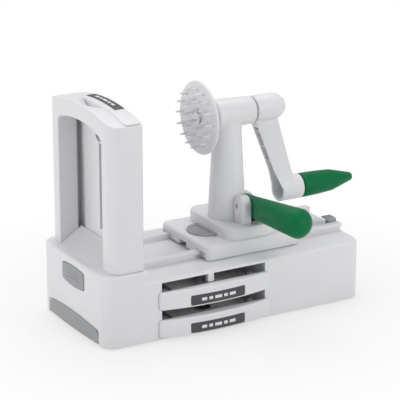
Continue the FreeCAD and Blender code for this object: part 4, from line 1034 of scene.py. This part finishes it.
@dataclass
class Carriage(SubAssembly):
    """The sliding carriage: its plate, column, release tab and push handle.

    Attributes:
        tilt: Angle of the push handle above the level.
        root: Radius of the handle at its lug.
        swell: Radius of the handle at its dome.
        length: Length of the handle.
        dome: Length of its dome.
        bevel: Size of the bevel on its heel.
        neck: Where it starts to widen.
        core: Radius of its bore, and the bore's share of its length.
        axis: Where its axis leaves the lug.
        heel: How far it reaches back beside the cheek.
        heel_room: Floor and outer side of the room for that heel.
        cheek: Corners of the cheek that it is pinned to.
        cheek_rounds: Radius of the cheek's top, outer and inner edges.
        screw: Place of the cheek's screw, across and up.
        screw_seat: Radius and depth of its seat.
        screw_head: Place and radius of each ring of its head.
        screw_cross: Half width, half length, top and floor of the head's slots.
        corners: Radius of the plate's left and right corners.
        tab_arcs: Radius of each raised arc on the tab.
        tab_ring: Half the width of an arc.
        tab_dish: The sunk middle's straight and round margin, and its depth.
        tab_seat: Radius of the seat of the tab's spring.
    """

    tilt: float = 5.0
    root: float = 11.8
    swell: float = 16.0
    length: float = 105.0
    dome: float = 12.0
    bevel: float = 1.2
    neck: float = 2.3
    core: Flat = (4.0, 0.82)
    axis: Point = (42.5, -33.0, 114.0)
    heel: float = 15.0
    heel_room: Flat = (97.3, 58.0)
    cheek: tuple[Point, Point] = ((26.0, -40.0, 96.6), (36.8, -20.0, 127.2))
    cheek_rounds: Point = (9.4, 4.2, 2.0)
    screw: Flat = (-27.5, 115.5)
    screw_seat: Flat = (3.0, 1.6)
    screw_head: tuple[Flat, ...] = ((0.7, 1.9), (0.9, 2.6), (1.7, 2.6))
    screw_cross: tuple[float, float, float, float] = (0.4, 2.0, 0.5, 1.3)
    corners: Flat = (8.0, 5.0)
    tab_arcs: Point = (5.0, 9.0, 13.0)
    tab_ring: float = 0.6
    tab_dish: Point = (3.0, 5.5, 0.7)
    tab_seat: float = 4.5

    def build(self) -> None:
        """Model the pieces of the carriage."""
        self._plate()
        self._column()
        self.sharpen("rail_keepers", "carriage", Paint.WHITE)
        self._tab()
        self._handle()

    def _plate(self) -> None:
        """Round off the plate's upright corners."""
        plate = refined("carriage_plate", "carriage_plate_look")
        place = Span.of("carriage_plate")
        low, high = place.z[0] - 1, place.z[1] + 1
        for x, way, radius in zip(place.x, (1, -1), self.corners):
            for y, side in zip(place.y, (1, -1)):
                centre = (x + way * radius, y + side * radius)
                waste = block("waste", (x - way, y - side, low), (*centre, high))
                cut(waste, turned("round", [(low - 1, radius), (high + 1, radius)], "Z",
                                  (*centre, 0.0), 48))
                cut(plate, waste)
        self.add(smooth(plate, 0.5), "carriage", Paint.WHITE, "carriage_plate")

    def _column(self) -> None:
        """Give the column's copy the rounded cheek at the handle's root."""
        column = refined("column", "column_look")
        (x0, y0, z0), (x1, y1, z1) = self.cheek
        floor, outside = self.heel_room
        back = self.axis[1] + self.heel + 0.3
        cut(column, block("heel_room", (x1, self.axis[1] - 1, floor), (outside, back, z1 + 2)))
        cheek = block("cheek", (x0, y0, z0), (x1, y1, z1))
        top, outer, inner = self.cheek_rounds
        soften(cheek, top, lambda a, b: min(a.z, b.z) > z1 - 1 and abs(a.x - b.x) > 2,
               segments=10)
        soften(cheek, outer, lambda a, b: max(a.x, b.x) < x0 + NEAR
               and max(a.z, b.z) > z0 + NEAR, segments=6, sharp=40)
        soften(cheek, inner, lambda a, b: min(a.x, b.x) > x1 - NEAR
               and max(a.y, b.y) < y0 + 10 and max(a.z, b.z) > z0 + NEAR, segments=4, sharp=40)
        weld(column, cheek)
        spot = (x0, *self.screw)
        wide, deep = self.screw_seat
        cut(column, turned("screw_seat", [(-1.0, wide), (deep, wide)], "X", spot))
        head = turned("cheek_screw", self.screw_head, "X", spot)
        thin, long, near, far = self.screw_cross
        for half_y, half_z in ((thin, long), (long, thin)):
            cut(head, block("slot", (x0 + near, spot[1] - half_y, spot[2] - half_z),
                            (x0 + far, spot[1] + half_y, spot[2] + half_z)))
        self.add(smooth(head, 0), "carriage", Paint.STEEL)
        self.add(smooth(column, 0.5), "carriage", Paint.WHITE, "column")

    def _tab(self) -> None:
        """Shape the half-round tab with a sunk middle and three raised arcs."""
        place = Span.of("release_tab")
        edge, reach = place.x[1], place.y[1]
        low, high = place.z
        straight, margin, deep = self.tab_dish

        def half_round(name: str, side: float, radius: float, steps: int, z: Flat) -> Thing:
            """Shape half a disc to the left of a straight side."""
            outline = [(side + x, y) for x, y in arc((0.0, 0.0), radius, 90, 270, steps)]
            return prism(name, outline, "Z", *z)

        body = half_round("tab", edge, reach, 48, (low, high))
        cut(body, half_round("dish", edge - straight, reach - margin, 40,
                             (high - deep, high + 1)))
        spot = (edge - straight, 0.0, high - 0.9)
        for radius in self.tab_arcs:
            outer, inner = radius + self.tab_ring, radius - self.tab_ring
            ring = turned("ring", [(0, outer), (0.5, outer)], "Z", spot, 56)
            hole = turned("hole", [(-1, inner), (2, inner)], "Z", spot, 56)
            # an arc ends a little to the left of the dish's straight side
            right = block("right", (edge - 3.8, -30, high - 3), (edge + 30, 30, high + 3))
            weld(body, cut(ring, hole, right))
        cut(body, turned("seat", [(-1, self.tab_seat), ((high - low) / 2, self.tab_seat)], "Z",
                         ((place.x[0] + edge) / 2, 0.0, low)))
        self.add(smooth(body, 0.5), "tab", Paint.GREY, "release_tab")

    def _handle(self) -> None:
        """Turn the push handle with a full dome and a bevelled heel."""
        neck = self.length - self.dome
        sphere = bow(self.swell, self.dome)
        turn = math.degrees(math.asin(self.swell / sphere))
        rings = [(-self.heel, self.root - self.bevel), (self.bevel - self.heel, self.root),
                 (self.neck, self.root)]
        steps = 14
        for i in range(1, steps + 1):
            share = i / steps
            rings.append((self.neck + (neck - self.neck) * share,
                          self.root + (self.swell - self.root) * share))
        for x, y in arc((0.0, 0.0), sphere, turn, 0, 18)[1:]:
            rings.append((self.length - sphere + x, y))
        grip = turned("push_grip", rings, "Z", (0.0, 0.0, 0.0), 96)
        radius, deep = self.core
        cut(grip, turned("bore", [(-self.heel - 1, radius), (self.length * deep + 0.5, radius)],
                         "Z", (0.0, 0.0, 0.0)))
        grip.matrix_world = (Matrix.Translation(Vector(self.axis) * MM)
                             @ Matrix.Rotation(math.radians(90 - self.tilt), 4, "X"))
        settle(grip)
        # the flat beside the cheek slants away from it towards the handle's end
        inner, start = self.cheek[1][0] + 0.4, self.axis[1]
        flat = [(20.0, start + self.heel + 5), (inner, start + self.heel + 5),
                (inner, start - 11), (27.0, start - 31), (20.0, start - 31)]
        cut(grip, prism("flat", flat, "Z", 90.0, 140.0))
        self.add(smooth(grip, 0.3), "carriage", Paint.GREEN, "push_handle")


@dataclass
class Crank(SubAssembly):
    """The pronged wheel, the crank arm and its grip.

    Attributes:
        rings: Radius, number and first angle of each ring of prongs.
        prong: Half width and length of a prong.
        grip_radius: Radius of the grip at the arm.
        grip_waist: Its radius where the cone begins.
        grip_tip: Radius of its tip.
        straight: Share of the grip before its cone.
        axle: Radius of the axle's bore and its end, from the tip.
        bead: Radius of the room for the axle's bead and its start, from the tip.
        boss: Radius and wall of the arm's boss, and its floor along X.
        boss_left: Open end of the boss along X.
        bore: Radius of the bore through that floor.
        flare: Heights over the boss where the flanks begin to spread and are full.
        half_arm: Half the arm's thickness.
        arm_right: Outer side of the arm at the boss's top.
        lean: How fast the arm's inner and outer side lean outwards.
        around: Reach along X and Y that holds the arm's lower end.
        pin: Place of the hub's cross pin.
        plug: Start and end of the plug over an end of the pin.
        plug_radius: Radius of a plug.
    """

    rings: tuple[tuple[float, int, float], ...] = ((32.0, 16, 0.0), (21.0, 10, 0.3),
                                                   (10.5, 6, 0.0))
    prong: Flat = (1.9, 10.0)
    grip_radius: float = 13.5
    grip_waist: float = 11.9
    grip_tip: float = 4.7
    straight: float = 0.58
    axle: Flat = (4.05, 6.7)
    bead: Flat = (5.2, 11.3)
    boss: Point = (13.5, 2.4, 113.0)
    boss_left: float = 95.4
    bore: float = 4.1
    flare: Flat = (25.0, 1.5)
    half_arm: float = 7.0
    arm_right: float = 110.8
    lean: Flat = (0.4, 0.3005)
    around: tuple[Flat, Flat] = ((60.0, 130.0), (-30.0, 30.0))
    pin: Point = (69.8, 0.0, 212.0)
    plug: Flat = (-14.7, -12.0)
    plug_radius: float = 2.6

    def build(self) -> None:
        """Model the pieces of the crank."""
        self.sharpen("pronged_wheel", "crank", Paint.WHITE)
        self._arm()
        self._prongs()
        self._grip()

    def _flared(self, name: str, level: float, wall: float) -> Thing:
        """Shape the arm's lower end, whose flanks spread to the boss.

        Args:
            name: Name of the shape.
            level: Height of the boss's axis.
            wall: How much smaller it is than the outside. Over 0 its inner side is open.

        Returns:
            The shape.
        """
        radius = self.boss[0] - wall
        half = self.half_arm - wall
        top, full = self.flare
        bound = math.sqrt(radius * radius - full * full)
        outline = [(-half, level + top), (-half, level + top - 1), (-bound, level + full),
                   (-bound, level), (bound, level), (bound, level + full),
                   (half, level + top - 1), (half, level + top)]
        flare = prism(name, outline, "X", *self.around[0])
        # an open side reaches past the arm's inner face
        open_side = 8.0 if wall else 0.0

        def inner(z: float) -> float:
            """Give the arm's inner side at a height."""
            return self.boss_left + 0.9 - self.lean[0] * (z - level) - open_side

        def outer(z: float) -> float:
            """Give the arm's outer side at a height."""
            return self.arm_right - wall - self.lean[1] * (z - level - self.boss[0])

        low, knee, high = level - 0.5, level + self.boss[0], level + top + 1
        side = prism("side", [(inner(high), high), (inner(low), low), (outer(knee), low),
                              (outer(knee), knee), (outer(high), high)], "Y", *self.around[1])
        return combine(flare, [side], "INTERSECT")

    def _arm(self) -> None:
        """Spread the arm's copy into its boss, with one open room from the arm to the boss."""
        level = Span.of("crank_grip").middle()[2]
        radius, wall, floor = self.boss
        centre = (0.0, 0.0, level)
        arm = refined("crank_arm", "crank_arm_look")
        ring = turned("ring", [(self.boss_left, radius), (floor, radius)], "X", centre, 96)
        weld(arm, ring, self._flared("flare", level, 0.0))
        room = turned("room", [(self.boss_left - 12, radius - wall), (floor, radius - wall)],
                      "X", centre, 96)
        cut(arm, room, self._flared("flare_room", level, wall),
            turned("bore", [(floor - 1, self.bore), (floor + 12, self.bore)], "X", centre))
        near, far = self.plug
        for start, end in ((near, far), (-far, -near)):
            weld(arm, turned("plug", [(start, self.plug_radius), (end, self.plug_radius)], "Y",
                             self.pin, 24))
        self.add(smooth(arm, 0.45), "crank", Paint.WHITE, "crank_arm")

    def _prongs(self) -> None:
        """Shape one prong with a fillet at its root, and copy it round the wheel."""
        wheel = Span.of("pronged_wheel")
        left, height = wheel.x[0], wheel.middle()[2]
        half, length = self.prong
        first = turned("prong_shape", [(0.4, half * 1.3), (0.0, half * 1.25), (-0.5, half),
                                       (-length * 0.9, half * 0.36), (-length, 0.12)], "X",
                       (0.0, 0.0, 0.0), 4)
        copies = []
        for radius, count, turn in self.rings:
            for i in range(count):
                angle = turn + 2 * math.pi * i / count
                copy = twin(first)
                copy.location = Vector((left, radius * math.sin(angle),
                                        height + radius * math.cos(angle))) * MM
                copies.append(copy)
        bpy.data.objects.remove(first)
        clear()
        for copy in copies:
            copy.select_set(True)
        bpy.context.view_layer.objects.active = copies[0]
        bpy.ops.object.join()
        self.add(settle(named("prongs")), "crank", Paint.WHITE, "wheel_prongs")

    def _grip(self) -> None:
        """Turn the grip: a barrel that narrows a little, a long cone and a small round tip."""
        place = Span.of("crank_grip")
        start, end = place.x
        centre = (start, 0.0, place.middle()[2])
        long = end - start
        shoulder, cone_end = long * self.straight, long - 2.4
        radius, waist, tip = self.grip_radius, self.grip_waist, self.grip_tip
        steps = 8
        rings = [(0.0, radius - 1.1), (0.3, radius - 0.4), (1.0, radius)]
        rings += [(1.0 + (shoulder - 1.0) * i / steps,
                   radius - (radius - waist) * (i / steps) ** 2) for i in range(1, steps + 1)]
        rings += [(shoulder + (cone_end - shoulder) * share, waist - (waist - tip) * share)
                  for share in (0.04, 0.2, 0.4, 0.6, 0.8, 1.0)]
        rings += [(long - 1.2, tip - 0.8), (long - 0.4, tip - 2.0), (long, 0.0)]
        grip = turned("crank_grip_look", rings, "X", centre, 96)
        bore, before = self.axle
        room, back = self.bead
        cut(grip, turned("axle_bore", [(-1.0, bore), (long - before, bore)], "X", centre),
            turned("bead_room", [(long - back, room), (long - before, room)], "X", centre))
        self.add(smooth(grip, 0.25), "grip", Paint.GREEN, "crank_grip")


# ---- studio


@dataclass
class Studio:
    """The floor, the lamps, the world and the camera.

    Attributes:
        target: Where the camera looks.
        distance: From the camera to the target.
        yaw: The camera's turn from +Y towards +X, in degrees.
        pitch: How far it looks down, in degrees.
        focal: Focal length in pixels of the frame.
        frame: Width of the frame in pixels.
        sensor: Width of the sensor in millimetres.
        lamps: Name, place, size in millimetres and power in watts of each lamp.
        aim: Where the lamps face.
        fade: Metres from the middle between which the floor turns white.
        white: How white the floor is there.
        sky: Colour of the light from all sides.
        sky_power: Strength of that light.
    """

    target: Point = (1.33, 8.43, 116.24)
    distance: float = 2262.45
    yaw: float = 30.05
    pitch: float = 18.48
    focal: float = 2088.33
    frame: float = 400.0
    sensor: float = 36.0
    lamps: tuple[tuple[str, Point, float, float], ...] = (
        ("left", (-1150, 60, 560), 600, 3.8), ("front", (420, -1150, 520), 700, 4.2),
        ("top", (150, 350, 1150), 800, 5.0))
    aim: Point = (0, 0, 90)
    fade: Flat = (0.14, 0.36)
    white: Flat = (0.62, 1.0)
    sky: Point = (0.93, 0.95, 1.0)
    sky_power: float = 0.62

    def build(self) -> None:
        """Set up the studio."""
        bpy.context.scene.view_settings.view_transform = "Standard"
        self._camera()
        self._floor()
        self._world()
        for lamp in self.lamps:
            self._lamp(*lamp)

    def _camera(self) -> None:
        """Place the camera."""
        yaw, pitch = math.radians(self.yaw), math.radians(self.pitch)
        ahead = Vector((math.sin(yaw) * math.cos(pitch), math.cos(yaw) * math.cos(pitch),
                        -math.sin(pitch)))
        place = (Vector(self.target) - ahead * self.distance) * MM
        bpy.ops.object.camera_add(location=place, rotation=(math.pi / 2 - pitch, 0.0, -yaw))
        camera = bpy.context.object
        camera.data.sensor_width = self.sensor
        camera.data.lens = self.focal * self.sensor / self.frame
        camera.data.clip_start = 0.1
        camera.data.clip_end = 20.0
        bpy.context.scene.camera = camera

    def _floor(self) -> None:
        """Lay a floor that is white to the camera except where something shades it."""
        clear()
        bpy.ops.mesh.primitive_plane_add(size=30.0)
        floor = named("studio_floor")
        made = bpy.data.materials.new("floor_white")
        made.use_nodes = True
        tree = made.node_tree
        tree.nodes.remove(tree.nodes["Principled BSDF"])
        matt = add_node(tree, "BsdfDiffuse", {"Color": (0.8, 0.8, 0.8, 1.0)}).outputs[0]
        glow = add_node(tree, "Emission", {"Color": (1.0, 1.0, 1.0, 1.0),
                                           "Strength": 1.0}).outputs[0]
        spot = add_node(tree, "TexCoord")
        away = add_node(tree, "VectorMath")
        away.operation = "LENGTH"
        rise = add_node(tree, "MapRange", {
            "From Min": self.fade[0], "From Max": self.fade[1],
            "To Min": self.white[0], "To Max": self.white[1]})
        wire(tree, (spot.outputs["Object"], away.inputs[0]),
             (away.outputs["Value"], rise.inputs["Value"]))
        both = mix(tree, rise.outputs["Result"], matt, glow)
        path = add_node(tree, "LightPath").outputs
        dim = mix(tree, path["Is Camera Ray"], matt, both)
        seen = larger(tree, path["Is Glossy Ray"], path["Is Transmission Ray"])
        wire(tree, (mix(tree, seen, dim, glow), tree.nodes["Material Output"].inputs["Surface"]))
        floor.data.materials.append(made)

    def _world(self) -> None:
        """Light from all sides, and show white behind the object."""
        world = bpy.context.scene.world or bpy.data.worlds.new("World")
        bpy.context.scene.world = world
        world.use_nodes = True
        tree = world.node_tree
        tree.nodes.clear()
        soft = add_node(tree, "Background", {"Color": (*self.sky, 1.0),
                                             "Strength": self.sky_power})
        white = add_node(tree, "Background", {"Color": (1.0, 1.0, 1.0, 1.0), "Strength": 1.0})
        path = add_node(tree, "LightPath").outputs
        seen = larger(tree, path["Is Camera Ray"], path["Is Transmission Ray"])
        out = add_node(tree, "OutputWorld")
        wire(tree, (mix(tree, seen, soft.outputs[0], white.outputs[0]), out.inputs["Surface"]))

    def _lamp(self, name: str, place: Point, size: float, power: float) -> None:
        """Hang a square soft lamp that faces the object.

        Args:
            name: Name of the lamp.
            place: Where it hangs, in millimetres.
            size: Length of its sides.
            power: Its power in watts.
        """
        clear()
        bpy.ops.object.light_add(type="AREA", location=[v * MM for v in place])
        lamp = bpy.context.object
        lamp.name = name
        lamp.data.shape = "SQUARE"
        lamp.data.size = size * MM
        lamp.data.energy = power
        lamp.data.color = (1.0, 0.98, 0.95)
        aim = Vector(self.aim) - Vector(place)
        lamp.rotation_euler = aim.to_track_quat("-Z", "Y").to_euler()


def dress_frame(palette: Palette) -> None:
    """Give every node of the frame the finish of its slot.

    Args:
        palette: The materials.
    """
    slots = {part["node"]: part["material_slot"] for part in frame["record"]["subparts"]}
    for node, thing in frame["nodes"].items():
        material = palette.made[Paint(slots[node])]
        for slot in thing.material_slots:
            slot.material = material


def main() -> None:
    """Build the slicer's looks and its studio."""
    logging.basicConfig(level=logging.INFO, format="%(name)s: %(message)s")
    palette = Palette()
    dress_frame(palette)
    Studio().build()
    groups: list[SubAssembly] = [Base(palette), Tower(palette),
                                 *(Cartridge(palette, store=store) for store in Store),
                                 Carriage(palette), Crank(palette)]
    for group in groups:
        group.build()
        for piece in group.made:
            LOG.info("%s: %s, %d faces", type(group).__name__, piece.name,
                     len(piece.data.polygons))


if __name__ == "__main__":
    main()
